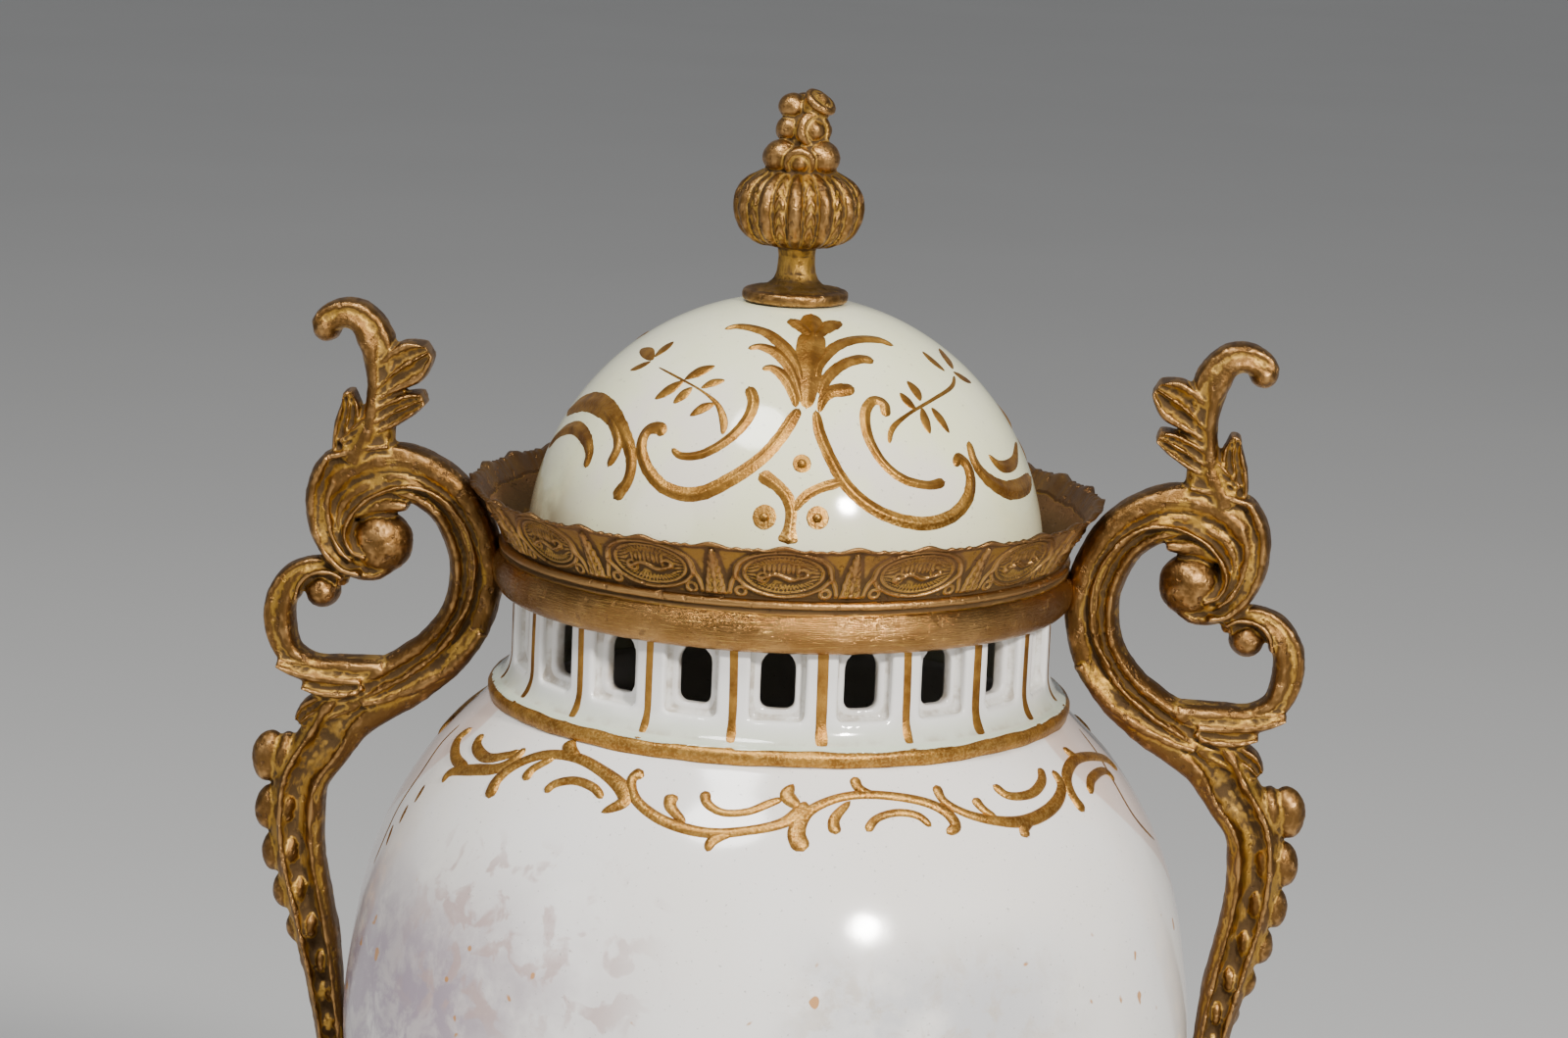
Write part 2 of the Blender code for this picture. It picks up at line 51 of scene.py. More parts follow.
# %% [markdown]
# ## The camera
#
# The photograph looks a little down on the vase from slightly right of its front, through a long lens,
# and the camera leans by two degrees. The camera comes first because the gilding was drawn by reading
# points off the photograph: each point is sent along its line of sight until it meets the porcelain.

# %% Place the camera


def add_object(name, data):
    """Puts a camera, a lamp or a mesh into the scene."""
    thing = bpy.data.objects.new(name, data)
    bpy.context.scene.collection.objects.link(thing)
    return thing


IMAGE_WIDTH, IMAGE_HEIGHT = 1600, 1059
FOCAL_PIXELS = 4600
SENSOR = 36.0
AZIMUTH, ELEVATION, LEAN = 3.5, 10.8, 2.35
DISTANCE = 0.930  # metres from the eye to the point that it looks at
AIM = Vector((0, 0, 0.28087))
SIDE_STEP = 2  # pixels that the vase's axis stands right of the middle

camera_data = bpy.data.cameras.new("camera")
camera_data.sensor_width = SENSOR
camera_data.lens = FOCAL_PIXELS / IMAGE_WIDTH * SENSOR
camera_data.shift_x = -SIDE_STEP / IMAGE_WIDTH
camera = add_object("camera", camera_data)
turn, rise = math.radians(AZIMUTH), math.radians(ELEVATION)
back = Vector((math.sin(turn) * math.cos(rise), -math.cos(turn) * math.cos(rise), math.sin(rise)))
look = (-back).to_track_quat("-Z", "Y").to_matrix().to_4x4()
camera.matrix_world = (
    Matrix.Translation(AIM + back * DISTANCE) @ look @ Matrix.Rotation(math.radians(LEAN), 4, "Z")
)
bpy.context.scene.camera = camera


def line_of_sight(x, y):
    """The eye and the direction in which a pixel of the photograph looks."""
    across = (x - IMAGE_WIDTH / 2 - SIDE_STEP) / FOCAL_PIXELS
    up = (IMAGE_HEIGHT / 2 - y) / FOCAL_PIXELS
    direction = camera.matrix_world.to_3x3() @ Vector((across, up, -1))
    return camera.matrix_world.translation, direction.normalized()


print("camera at", [round(c, 3) for c in camera.matrix_world.translation])

# %% [markdown]
# ## Turning, sweeping and fusing
#
# Everything here is either turned on a wheel or lathe, or modelled as a strap that follows a curve. Two
# helpers make those as grids of points, which numpy fills quickly. Castings are several such shapes run
# together: a voxel remesh fuses them and rounds the corners between them, as wax and casting do.

# %% Helpers for grids of points


def curve_through(rows, per_span):
    """A smooth line through rows of numbers (Catmull-Rom), with so many steps to a span."""
    rows = np.asarray(rows, float)
    rows = np.vstack([2 * rows[0] - rows[1], rows, 2 * rows[-1] - rows[-2]])
    out = []
    for a, b, c, d in zip(rows, rows[1:], rows[2:], rows[3:]):
        for i in range(per_span):
            t = i / per_span
            out.append(
                b
                + 0.5 * t * (c - a)
                + 0.5 * t * t * (2 * a - 5 * b + 4 * c - d)
                + 0.5 * t**3 * (3 * b - a - 3 * c + d)
            )
    out.append(rows[-2])
    return np.array(out)


def evenly(line, step):
    """The same line with its points step apart, measured along the first two columns."""
    gaps = np.hypot(*np.diff(line[:, :2], axis=0).T)
    along = np.concatenate([[0], np.cumsum(gaps)])
    marks = np.linspace(0, along[-1], max(int(along[-1] / step), 2))
    return np.stack([np.interp(marks, along, column) for column in line.T], 1)


def grid_faces(rows, columns, wrap_rows=False):
    """Quads over a grid whose columns close on themselves."""
    index = np.arange(rows * columns).reshape(rows, columns)
    if wrap_rows:
        index = np.vstack([index, index[:1]])
    right = np.roll(index, -1, axis=1)
    return np.stack([index[:-1], right[:-1], right[1:], index[1:]], -1).reshape(-1, 4)


def mesh_object(name, points, quads):
    """An object from points in metres and quads; points that coincide are merged."""
    mesh = bpy.data.meshes.new(name)
    mesh.vertices.add(len(points))
    mesh.vertices.foreach_set("co", np.asarray(points, np.float32).ravel())
    mesh.loops.add(quads.size)
    mesh.loops.foreach_set("vertex_index", quads.ravel().astype(np.int32))
    mesh.polygons.add(len(quads))
    mesh.polygons.foreach_set("loop_start", np.arange(0, quads.size, 4, dtype=np.int32))
    mesh.update(calc_edges=True)
    bm = bmesh.new()
    bm.from_mesh(mesh)
    bmesh.ops.remove_doubles(bm, verts=bm.verts, dist=1e-7)
    bmesh.ops.recalc_face_normals(bm, faces=bm.faces)
    bm.to_mesh(mesh)
    bm.free()
    mesh.shade_smooth()
    return add_object(name, mesh)


def turned_shell(outline, sides, relief=None, closed=False):
    """Points and quads of a turned shape from (radius, height) rows in millimetres.

    relief(azimuth, row) gives (outwards, upwards) to add; azimuth is in radians from the front to +X.
    """
    outline = np.asarray(outline, float)
    azimuth = np.linspace(0, 2 * math.pi, sides, endpoint=False)
    a, row = np.meshgrid(azimuth, np.arange(len(outline)))
    radius = outline[:, :1] + np.zeros_like(a)
    height = outline[:, 1:2] + np.zeros_like(a)
    if relief:
        out, up = relief(a, row)
        radius, height = radius + out, height + up
    points = np.stack([radius * np.sin(a), -radius * np.cos(a), height], -1)
    return points.reshape(-1, 3) * MM, grid_faces(len(outline), sides, closed)


def join_shells(shells):
    """Several shells as one list of points and quads."""
    points, quads, start = [], [], 0
    for p, q in shells:
        points.append(p)
        quads.append(q + start)
        start += len(p)
    return np.vstack(points), np.vstack(quads)

# %% [markdown]
# ### Reading the relief
#
# Old gilding is bright in sheltered hollows and brown and coppery where hands and dusters rub it; the
# coppery colour on its sharp edges is also a painted highlight, and its deepest cracks are painted black,
# partly dirt and partly painted shade. The material has to know where that is, so each casting stores
# it: every point is compared with the average of its neighbours, and stands proud of it or lies below it.

# %% Helpers that fuse a casting and read its relief


def store_relief(thing, name, rounds):
    """Stores how far each point stands over (+) or lies under (-) its surroundings, in millimetres."""
    mesh = thing.data
    count = len(mesh.vertices)
    co = np.empty(count * 3)
    mesh.vertices.foreach_get("co", co)
    co = co.reshape(-1, 3)
    ends = np.empty(len(mesh.edges) * 2, np.int32)
    mesh.edges.foreach_get("vertices", ends)
    a, b = ends.reshape(-1, 2).T
    share = 1 / np.maximum(np.bincount(a, minlength=count) + np.bincount(b, minlength=count), 1)
    soft = co.copy()
    for _ in range(rounds):
        total = np.empty_like(soft)
        for axis in range(3):
            column = soft[:, axis]
            total[:, axis] = np.bincount(a, column[b], count) + np.bincount(b, column[a], count)
        soft = total * share[:, None]
    normal = np.empty(count * 3)
    mesh.vertex_normals.foreach_get("vector", normal)
    proud = np.einsum("ij,ij->i", co - soft, normal.reshape(-1, 3)) / MM
    layer = mesh.attributes.new(name, "FLOAT", "POINT")
    layer.data.foreach_set("value", proud.astype(np.float32))
    return proud


def settle(thing):
    """Replaces the object's mesh by what its modifiers make of it."""
    bpy.context.view_layer.update()
    depsgraph = bpy.context.evaluated_depsgraph_get()
    mesh = bpy.data.meshes.new_from_object(thing.evaluated_get(depsgraph))
    thing.modifiers.clear()
    thing.data = mesh
    mesh.shade_smooth()


def new_skin(thing, voxel, soften, keep):
    """Gives a mesh a fresh even skin with softened edges; keep is the share of faces left at the end."""
    remesh = thing.modifiers.new("skin", "REMESH")
    remesh.mode = "VOXEL"
    remesh.voxel_size = voxel * MM
    smooth = thing.modifiers.new("soften", "SMOOTH")
    smooth.factor = 0.5
    smooth.iterations = soften
    settle(thing)
    thin = thing.modifiers.new("thin", "DECIMATE")
    thin.ratio = keep
    settle(thing)


def fuse(name, shells, voxel, soften=2):
    """One casting from overlapping closed shells."""
    thing = mesh_object(name, *join_shells(shells))
    new_skin(thing, voxel, soften, keep=0.5)
    return thing


def hand_work(thing, size, depth, finer=0.35):
    """Small unevenness left by modelling and chasing: lumps of a size, so deep, both in millimetres."""
    mesh = thing.data
    normals = [vertex.normal.copy() for vertex in mesh.vertices]
    for vertex, normal in zip(mesh.vertices, normals):
        at = vertex.co / (size * MM)
        lump = noise.noise(at) + finer * noise.noise(at * 3.1)
        vertex.co += normal * (lump * depth * MM)
    mesh.update()


def report(thing):
    """Prints how many triangles an object has and how big it is."""
    thing.data.calc_loop_triangles()
    low, high = Vector(thing.bound_box[0]), Vector(thing.bound_box[6])
    size = " x ".join(f"{c / MM:.1f}" for c in high - low)
    print(f"{thing.name}: {len(thing.data.loop_triangles)} triangles, {size} mm")


def read_casting(thing, fine_rounds):
    """Stores the fine and the broad relief of a finished casting."""
    store_relief(thing, "relief", fine_rounds)
    store_relief(thing, "hollow", 40)
    report(thing)

# %% [markdown]
# ## Sizes
#
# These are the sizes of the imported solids, in millimetres. The dressed pieces have to stay on them, so
# they are written here once, and everything that follows is measured from them.

# %% Sizes of the solids
SEAT, BELLY, RING, RIM = 46.3, 170.0, 244.5, 272.0  # heights on the porcelain
SEAT_RADIUS, BELLY_RADIUS, RING_RADIUS, NECK_RADIUS = 31.0, 88.5, 60.3, 55.8
NECK_WALL, BODY_WALL, LID_WALL, FLOOR = 5.0, 4.0, 4.0, 5.0
SKIRT, BAND_TOP, GALLERY = 265.1, 275.2, 287.9  # heights on the collar
COLLAR_RADIUS = 57.0
LID_BASE, LID_RADIUS, PAD_RADIUS = 274.1, 53.3, 11.6
LIP_OUTSIDE, LIP_INSIDE, LIP_DEPTH = 48.1, 45.1, 6.0
WINDOWS, WINDOW_PHASE = 20, 3.2
MEDALLIONS, MEDALLION_PHASE = 14, 3.5

# %% [markdown]
# ## The porcelain body
#
# The body was thrown or cast in one piece with its neck, then dipped in glaze. It is turned here from its
# outline, outside and inside. The neck is a shape of its own with many edges, so it is made apart and
# meets the body under the gilt ring, where the join can't be seen.

# %% Turn the body
LOWER_BODY = [(0, 0), (0.33, 0.21), (0.66, 0.485), (0.91, 0.77), (1, 1)]
SHOULDER = [(1, 0), (0.935, 0.32), (0.77, 0.58), (0.44, 0.815), (0, 1)]
SHOULDER_FOOT, SHOULDER_TOP = RING_RADIUS - 0.5, RING - 1.6


def body_outline(per_span):
    """The outside from the underside's edge up to the gilt ring, as (radius, height)."""
    spread = BELLY_RADIUS - SEAT_RADIUS
    lower = [(SEAT_RADIUS + spread * out, SEAT + (BELLY - SEAT) * up) for out, up in LOWER_BODY]
    spread = BELLY_RADIUS - SHOULDER_FOOT
    upper = [(SHOULDER_FOOT + spread * out, BELLY + (SHOULDER_TOP - BELLY) * up) for out, up in SHOULDER]
    return curve_through([*lower, *upper[1:]], per_span)


def inwards(outline, depth):
    """The line moved sideways towards the axis."""
    along = np.gradient(outline, axis=0)
    along /= np.linalg.norm(along, axis=1)[:, None]
    return outline + np.stack([-along[:, 1], along[:, 0]], 1) * depth


outside = body_outline(12)
inside = inwards(outside, BODY_WALL)
inside = inside[(inside[:, 1] > SEAT + 8) & (inside[:, 1] < RING - 3)]
body_line = [
    (0, SEAT),
    (SEAT_RADIUS - 1.5, SEAT),
    *outside[1:],
    (NECK_RADIUS, RING + 0.6),
    (NECK_RADIUS - NECK_WALL + 0.2, RING + 0.6),
    *inside[::-1],
    (SEAT_RADIUS - BODY_WALL, SEAT + FLOOR),
    (0, SEAT + FLOOR),
]
body = mesh_object("porcelain_body", *turned_shell(body_line, 256))
report(body)

# %% [markdown]
# ### The pierced neck
#
# Twenty openings with arched tops were cut through the leather-hard clay, each at the back of a sunk
# panel, and the glaze then rounded every edge. Cutting gives the openings. A fine voxel remesh with a
# little smoothing then gives the soft, thick glaze edge, which a plain bevel can't do.

# %% Shapes of the windows and their panels
WINDOW_HALF, WINDOW_FOOT, WINDOW_HEAD = 3.4, RING + 8.5, RING + 20.2
PANEL_HALF, PANEL_FOOT, PANEL_HEAD, PANEL_DEPTH = 5.4, RING + 6.6, RIM + 3, 2.5
PANEL_CORNER, PANEL_SPREAD = 1.2, 1.06
WINDOW_CORNER, WINDOW_ARCH = 1.8, WINDOW_HALF - 0.1
INSIDE_NECK, OUTSIDE_NECK = 45, 66  # radii between which a cutter runs


def rounded_box(half, foot, head, low_radius, high_radius, corners=6):
    """The outline of an upright opening, as (across, height)."""
    points = []
    for cx, cz, start, radius in (
        (half - high_radius, head - high_radius, 0, high_radius),
        (high_radius - half, head - high_radius, 90, high_radius),
        (low_radius - half, foot + low_radius, 180, low_radius),
        (half - low_radius, foot + low_radius, 270, low_radius),
    ):
        for i in range(corners + 1):
            angle = math.radians(start + 90 * i / corners)
            points.append((cx + radius * math.cos(angle), cz + radius * math.sin(angle)))
    return points


def cutters(outline, near, far, spread):
    """A prism for each window, wider by the factor spread at its outer end."""
    bm = bmesh.new()
    middle = sum(z for _, z in outline) / len(outline)
    for i in range(WINDOWS):
        spin = Matrix.Rotation(math.radians(WINDOW_PHASE + i * 360 / WINDOWS), 4, "Z")
        wide = [(x * spread, middle + (z - middle) * spread) for x, z in outline]
        inner = [bm.verts.new(spin @ Vector((x, -near, z)) * MM) for x, z in outline]
        outer = [bm.verts.new(spin @ Vector((x, -far, z)) * MM) for x, z in wide]
        bm.faces.new(inner)
        bm.faces.new(outer)
        for k in range(len(outline)):
            n = (k + 1) % len(outline)
            bm.faces.new([inner[k], inner[n], outer[n], outer[k]])
    bmesh.ops.recalc_face_normals(bm, faces=bm.faces)
    mesh = bpy.data.meshes.new("cutter")
    bm.to_mesh(mesh)
    bm.free()
    return add_object("cutter", mesh)

# %% [markdown]
# The neck stands upright above and is hollowed out to the gilt ring below. The panels are cut first, only
# part of the way through the wall, then the windows right through it.

# %% Turn the neck and cut its windows


def flare(height):
    """The neck's outer radius at a height: upright above, hollowed out to the ring below."""
    reach = RING_RADIUS - 0.6 - NECK_RADIUS
    up = np.clip((np.asarray(height, float) - RING - 1.6) / 6.5, 0, 1)
    return NECK_RADIUS + reach * (1 - np.sqrt(1 - (1 - up) ** 2))


heights = np.concatenate([np.linspace(RING + 1.6, RING + 8, 10), [RIM - 1, RIM]])
neck_line = [
    (NECK_RADIUS - NECK_WALL, RING - 1.0),
    (RING_RADIUS - 1.0, RING - 1.0),
    *[(float(flare(z)), z) for z in heights],
    (NECK_RADIUS - NECK_WALL, RIM),
]
neck = mesh_object("pierced_neck", *turned_shell(neck_line, 240, closed=True))
panel_shape = rounded_box(PANEL_HALF, PANEL_FOOT, PANEL_HEAD, PANEL_CORNER, PANEL_CORNER)
window_shape = rounded_box(WINDOW_HALF, WINDOW_FOOT, WINDOW_HEAD, WINDOW_CORNER, WINDOW_ARCH)
panels = cutters(panel_shape, NECK_RADIUS - PANEL_DEPTH, OUTSIDE_NECK, PANEL_SPREAD)
holes = cutters(window_shape, INSIDE_NECK, OUTSIDE_NECK, 1.0)
for cutter in (panels, holes):
    cut = neck.modifiers.new("cut", "BOOLEAN")
    cut.operation = "DIFFERENCE"
    cut.object = cutter
settle(neck)
for cutter in (panels, holes):
    bpy.data.objects.remove(cutter)
new_skin(neck, 0.5, soften=5, keep=0.6)
store_relief(neck, "relief", 12)
report(neck)

# %% [markdown]
# ## The lid
#
# The lid is half a sphere with a flat pad on top for the finial and a locating lip beneath. It is hollow,
# and its wall is as thick as the body's.

# %% Turn the lid
dome_angles = np.linspace(math.acos(PAD_RADIUS / LID_RADIUS), 0.02, 48)
HOLLOW_RADIUS = LID_RADIUS - LID_WALL
hollow_angles = np.linspace(math.acos(LIP_INSIDE / HOLLOW_RADIUS), math.pi / 2, 24)
lid_line = [
    (0, LID_BASE + LID_RADIUS * math.sin(dome_angles[0])),
    *[(LID_RADIUS * math.cos(a), LID_BASE + LID_RADIUS * math.sin(a)) for a in dome_angles],
    (LID_RADIUS - 0.4, LID_BASE),
    (LIP_OUTSIDE, LID_BASE),
    (LIP_OUTSIDE, LID_BASE - LIP_DEPTH),
    (LIP_INSIDE, LID_BASE - LIP_DEPTH),
    *[(HOLLOW_RADIUS * math.cos(a), LID_BASE + HOLLOW_RADIUS * math.sin(a)) for a in hollow_angles],
]
lid = mesh_object("porcelain_lid", *turned_shell(lid_line, 192))
report(lid)

# %% [markdown]
# ## The collar
#
# The collar is a cast ring: a burnished half-round moulding, and above it a flaring frieze with fourteen
# oval medallions, spear leaves between them and a scalloped edge. The relief is shallow and regular, so
# it is written as a height over the turned surface: each motif is a small function of the distance
# across (x) and up (y), in millimetres, and the heights are added.

# %% Relief of the frieze
PITCH = 2 * math.pi / MEDALLIONS
FRIEZE_TALL = 13.6  # measured along the flare
FRIEZE_ROUND = 62.0  # mean radius, turns an angle into millimetres


def bump(distance, width):
    """A smooth ridge, one high, that fades out with the distance."""
    return np.exp(-((distance / width) ** 2))


def step_up(value, start, end):
    """0 before start, 1 after end, and smooth in between."""
    t = np.clip((value - start) / (end - start), 0, 1)
    return t * t * (3 - 2 * t)


def medallion(x, y):
    """A double-rimmed oval with a fringe of rays, a comb and a scrolling leaf."""
    ring = np.hypot(x / 9.6, y / 5.6)
    angle = np.arctan2(y / 5.6, x / 9.6)
    inside = 1 - step_up(ring, 0.93, 1.03)
    height = 0.85 * bump(ring - 0.98, 0.06) + 0.6 * bump(ring - 0.83, 0.045) - 0.45 * inside
    rays = 0.5 + 0.5 * np.cos(angle * 52)
    height += 0.5 * rays * bump(ring - 0.66, 0.11)
    comb = (0.5 + 0.5 * np.cos(x * 2 * math.pi / 0.95)) * bump(y - 1.1, 0.85)
    comb *= 1 - step_up(abs(x + 0.3), 3.2, 4.2)
    leaf = bump(y + 0.75 + 0.6 * np.sin(x * 0.9), 0.5) * (1 - step_up(abs(x), 4.6, 5.6))
    curl = bump(np.hypot(x + 4.1, y + 1.0) - 1.1, 0.32) + bump(np.hypot(x - 3.8, y - 0.1) - 1.0, 0.32)
    return height + 0.75 * comb + 0.95 * leaf + 0.5 * curl * inside


def spear(x, y):
    """A three-bladed leaf that stands between two medallions, with small curls at its foot."""
    tall = np.clip((y + 6.2) / 11.6, 0, 1)
    half = 2.3 * (1 - tall) ** 0.8 + 0.25
    blade = (1 - step_up(abs(x), half * 0.8, half)) * step_up(y, -6.4, -5.6) * (1 - step_up(y, 4.8, 5.4))
    rib = bump(x, 0.3) * blade
    side = bump(abs(x) - (2.9 + 0.22 * np.clip(y + 5, 0, 9) ** 1.3), 0.5) * (1 - step_up(y, 0.0, 2.0))
    side *= step_up(y, -6.4, -5.2)
    vein = 0.5 + 0.5 * np.cos((y * 1.2 - abs(x) * 2.4) * 2.6)
    foot = bump(np.hypot(abs(x) - 5.2, y + 5.0) - 1.0, 0.34)
    return 0.65 * blade + 0.45 * rib + 0.6 * side + 0.2 * vein * blade + 0.5 * foot


def scallops(azimuth):
    """How high the crest stands: a broad scallop on each medallion and leaf, small teeth between."""
    turn = (azimuth - math.radians(MEDALLION_PHASE)) / (PITCH / 2)
    off = turn - np.round(turn)
    broad = bump(off, 0.2)
    teeth = 0.45 * bump(abs(off) - 0.36, 0.055) + 0.35 * bump(abs(off) - 0.49, 0.05)
    return 1.15 * broad + teeth - 1.1

# %% [markdown]
# ### Turning the collar
#
# The outline runs up the outside, over the crest and down the inside, and closes on itself under the
# skirt. Only the rows of the frieze take the relief. The crest moves up and down with the scallops.

# %% Turn the collar
FRIEZE_ROWS = 46
BAND_HALF = 4.35
FRIEZE_FOOT = SKIRT + 2 * BAND_HALF + 2.0
band_line = [
    (COLLAR_RADIUS + 3.0 * math.sin(a) ** 0.8, SKIRT + BAND_HALF * (1 - math.cos(a)))
    for a in np.radians(np.linspace(0, 152, 15))
]
fillet_line = [(58.2, 273.7), (58.4, 274.1), (58.9, 274.4), (59.0, 275.0), (58.6, 275.6), (57.9, 275.8)]
frieze_line = [
    (COLLAR_RADIUS + 0.9 + 7.0 * u**1.25, FRIEZE_FOOT + (GALLERY - 0.2 - FRIEZE_FOOT) * u)
    for u in np.linspace(0, 1, FRIEZE_ROWS)
]
inner_line = [
    (COLLAR_RADIUS + 7.0, GALLERY - 0.1),
    (COLLAR_RADIUS + 6.4, GALLERY - 0.5),
    (COLLAR_RADIUS + 3.2, BAND_TOP + 6.5),
    (COLLAR_RADIUS - 2.2, BAND_TOP - 0.2),
    (LID_RADIUS + 1.0, 273.8),
    (NECK_RADIUS - 6.6, 273.8),
    (NECK_RADIUS - 6.6, 272.4),
    (NECK_RADIUS + 0.3, 272.4),
    (NECK_RADIUS + 0.3, SKIRT + 0.2),
]
FIRST = len(band_line) + len(fillet_line)
LAST = FIRST + FRIEZE_ROWS


def collar_relief(azimuth, row):
    """Adds the frieze's relief and the crest to the turned collar."""
    up = np.clip((row - FIRST) / (FRIEZE_ROWS - 1), 0, 1)
    y = (up - 0.5) * FRIEZE_TALL
    turn = (azimuth - math.radians(MEDALLION_PHASE)) / PITCH
    x = (turn - np.round(turn)) * PITCH * FRIEZE_ROUND
    x_leaf = (turn - np.floor(turn) - 0.5) * PITCH * FRIEZE_ROUND
    height = medallion(x, y + 0.3) + spear(x_leaf, y)
    height *= step_up(up, 0.0, 0.04) * (1 - step_up(up, 0.9, 0.95))
    crest = scallops(azimuth)
    lip = 0.3 + 0.5 * (crest + 1.1)
    height += step_up(up, 0.89, 0.97) * lip
    outwards = np.where((row >= FIRST) & (row < LAST), height - 0.2, 0)
    outwards += np.where((row >= LAST) & (row < LAST + 2), lip * 0.55 - 0.2, 0)
    upwards = np.where((row >= FIRST) & (row < LAST + 2), crest * step_up(up, 0.86, 1.0), 0)
    return outwards, upwards


collar = mesh_object(
    "gilt_collar",
    *turned_shell(
        [*band_line, *fillet_line, *frieze_line, *inner_line], MEDALLIONS * 78, collar_relief, closed=True
    ),
)
hand_work(collar, 2.6, 0.07)
read_casting(collar, 6)

# %% [markdown]
# ## The handles
#
# Each handle is one bronze casting, modelled flat and the same on both faces. A strap follows a C-scroll,
# then runs down the body; a smaller scroll, a sprouting leaf, round bosses and a row of shells are
# modelled onto it. A strap is swept along its curve with a cross-section that changes on the way: a rim,
# a fine bead and grooves, which catch the light as long lines.

# %% The sweep
# A section is given from the rim round the face to the other edge: (across, depth), both from 0 to 1.
START_SECTION = [
    (1.0, 0.0), (0.97, 0.36), (0.88, 0.6), (0.76, 0.62), (0.66, 0.72), (0.5, 0.84), (0.3, 0.9),
    (0.12, 0.84), (-0.02, 0.7), (-0.12, 0.56), (-0.2, 0.54), (-0.3, 0.62), (-0.42, 0.7), (-0.54, 0.72),
    (-0.66, 0.66), (-0.78, 0.56), (-0.88, 0.42), (-0.95, 0.24), (-1.0, 0.0),
]
SCROLL_SECTION = [
    (1.0, 0.0), (0.97, 0.42), (0.88, 0.7), (0.72, 0.84), (0.5, 0.9), (0.34, 0.86), (0.22, 0.74),
    (0.14, 0.62), (0.06, 0.64), (-0.02, 0.94), (-0.12, 1.0), (-0.22, 0.84), (-0.3, 0.56), (-0.38, 0.52),
    (-0.5, 0.74), (-0.64, 0.8), (-0.82, 0.6), (-0.95, 0.3), (-1.0, 0.0),
]
STRAP_SECTION = [
    (1.0, 0.0), (0.97, 0.42), (0.9, 0.62), (0.8, 0.66), (0.72, 0.8), (0.62, 0.94), (0.52, 0.88),
    (0.44, 0.64), (0.3, 0.44), (0.1, 0.34), (-0.1, 0.34), (-0.28, 0.46), (-0.4, 0.7), (-0.5, 0.94),
    (-0.6, 0.98), (-0.7, 0.78), (-0.84, 0.62), (-0.96, 0.4), (-1.0, 0.0),
]
LEAF_SECTION = [
    (1.0, 0.0), (0.97, 0.5), (0.86, 0.78), (0.7, 0.8), (0.5, 0.62), (0.3, 0.5), (0.16, 0.62), (0.0, 0.86),
    (-0.16, 0.62), (-0.3, 0.5), (-0.5, 0.62), (-0.7, 0.8), (-0.86, 0.78), (-0.97, 0.5), (-1.0, 0.0),
]
TONGUE_SECTION = [
    (1.0, 0.0), (0.96, 0.46), (0.82, 0.78), (0.6, 0.96), (0.35, 1.0), (0.1, 0.92), (-0.1, 0.8),
    (-0.35, 0.74), (-0.6, 0.78), (-0.82, 0.7), (-0.95, 0.42), (-1.0, 0.0),
]
ROUND_SECTION = [(math.cos(a), math.sin(a)) for a in np.radians(np.arange(0, 181, 20))]


def swept_shell(line, sections, half_depth, thins=True):
    """A closed strap along (out, up, width) rows in the plane of X and Z, in millimetres.

    sections are (share of the way, section) pairs, blended in between. Where the strap narrows it also
    thins, unless thins is False.
    """
    line = evenly(line, 0.7)
    count = len(line)
    along = np.gradient(line[:, :2], axis=0)
    along /= np.linalg.norm(along, axis=1)[:, None]
    across = np.stack([along[:, 1], -along[:, 0]], 1)
    way = np.linspace(0, 1, count)
    marks = [s for s, _ in sections]
    shapes = np.array([shape for _, shape in sections])
    u, v = (
        np.array([np.interp(way, marks, shapes[:, k, c]) for k in range(shapes.shape[1])]).T for c in (0, 1)
    )
    u, v = np.hstack([u, u[:, -2:0:-1]]), np.hstack([v, -v[:, -2:0:-1]])
    half = line[:, 2:3] / 2
    deep = half_depth * (np.minimum(1, 0.5 + line[:, 2:3] / 16) if thins else 1)
    x = line[:, :1] + across[:, :1] * half * u
    z = line[:, 1:2] + across[:, 1:] * half * u
    points = np.stack([x, -deep * v, z], -1)
    first, last = (np.broadcast_to(points[i].mean(0), points[:1].shape) for i in (0, -1))
    points = np.concatenate([first, points, last])
    return points.reshape(-1, 3) * MM, grid_faces(count + 2, u.shape[1])


def ball_shell(centre, size, lean=0.0):
    """A closed ellipsoid: centre (out, depth, up), half sizes, and a lean in the handle's plane."""
    steep = np.linspace(-math.pi / 2, math.pi / 2, 15)
    around = np.linspace(0, 2 * math.pi, 24, endpoint=False)
    a, s = np.meshgrid(around, steep)
    x, y, z = size[0] * np.cos(s) * np.cos(a), size[1] * np.cos(s) * np.sin(a), size[2] * np.sin(s)
    c, n = math.cos(math.radians(lean)), math.sin(math.radians(lean))
    points = np.stack([centre[0] + c * x - n * z, centre[1] + y, centre[2] + n * x + c * z], -1)
    return points.reshape(-1, 3) * MM, grid_faces(15, 24)

# %% [markdown]
# ### Laying out a handle
#
# The rows below are places in the handle's plane: how far out from the collar's lower edge, how far up
# from it, and how wide the strap is there. The lower strap follows the body, so its rows say how far it
# stands off and how high it is between the belly and the collar.

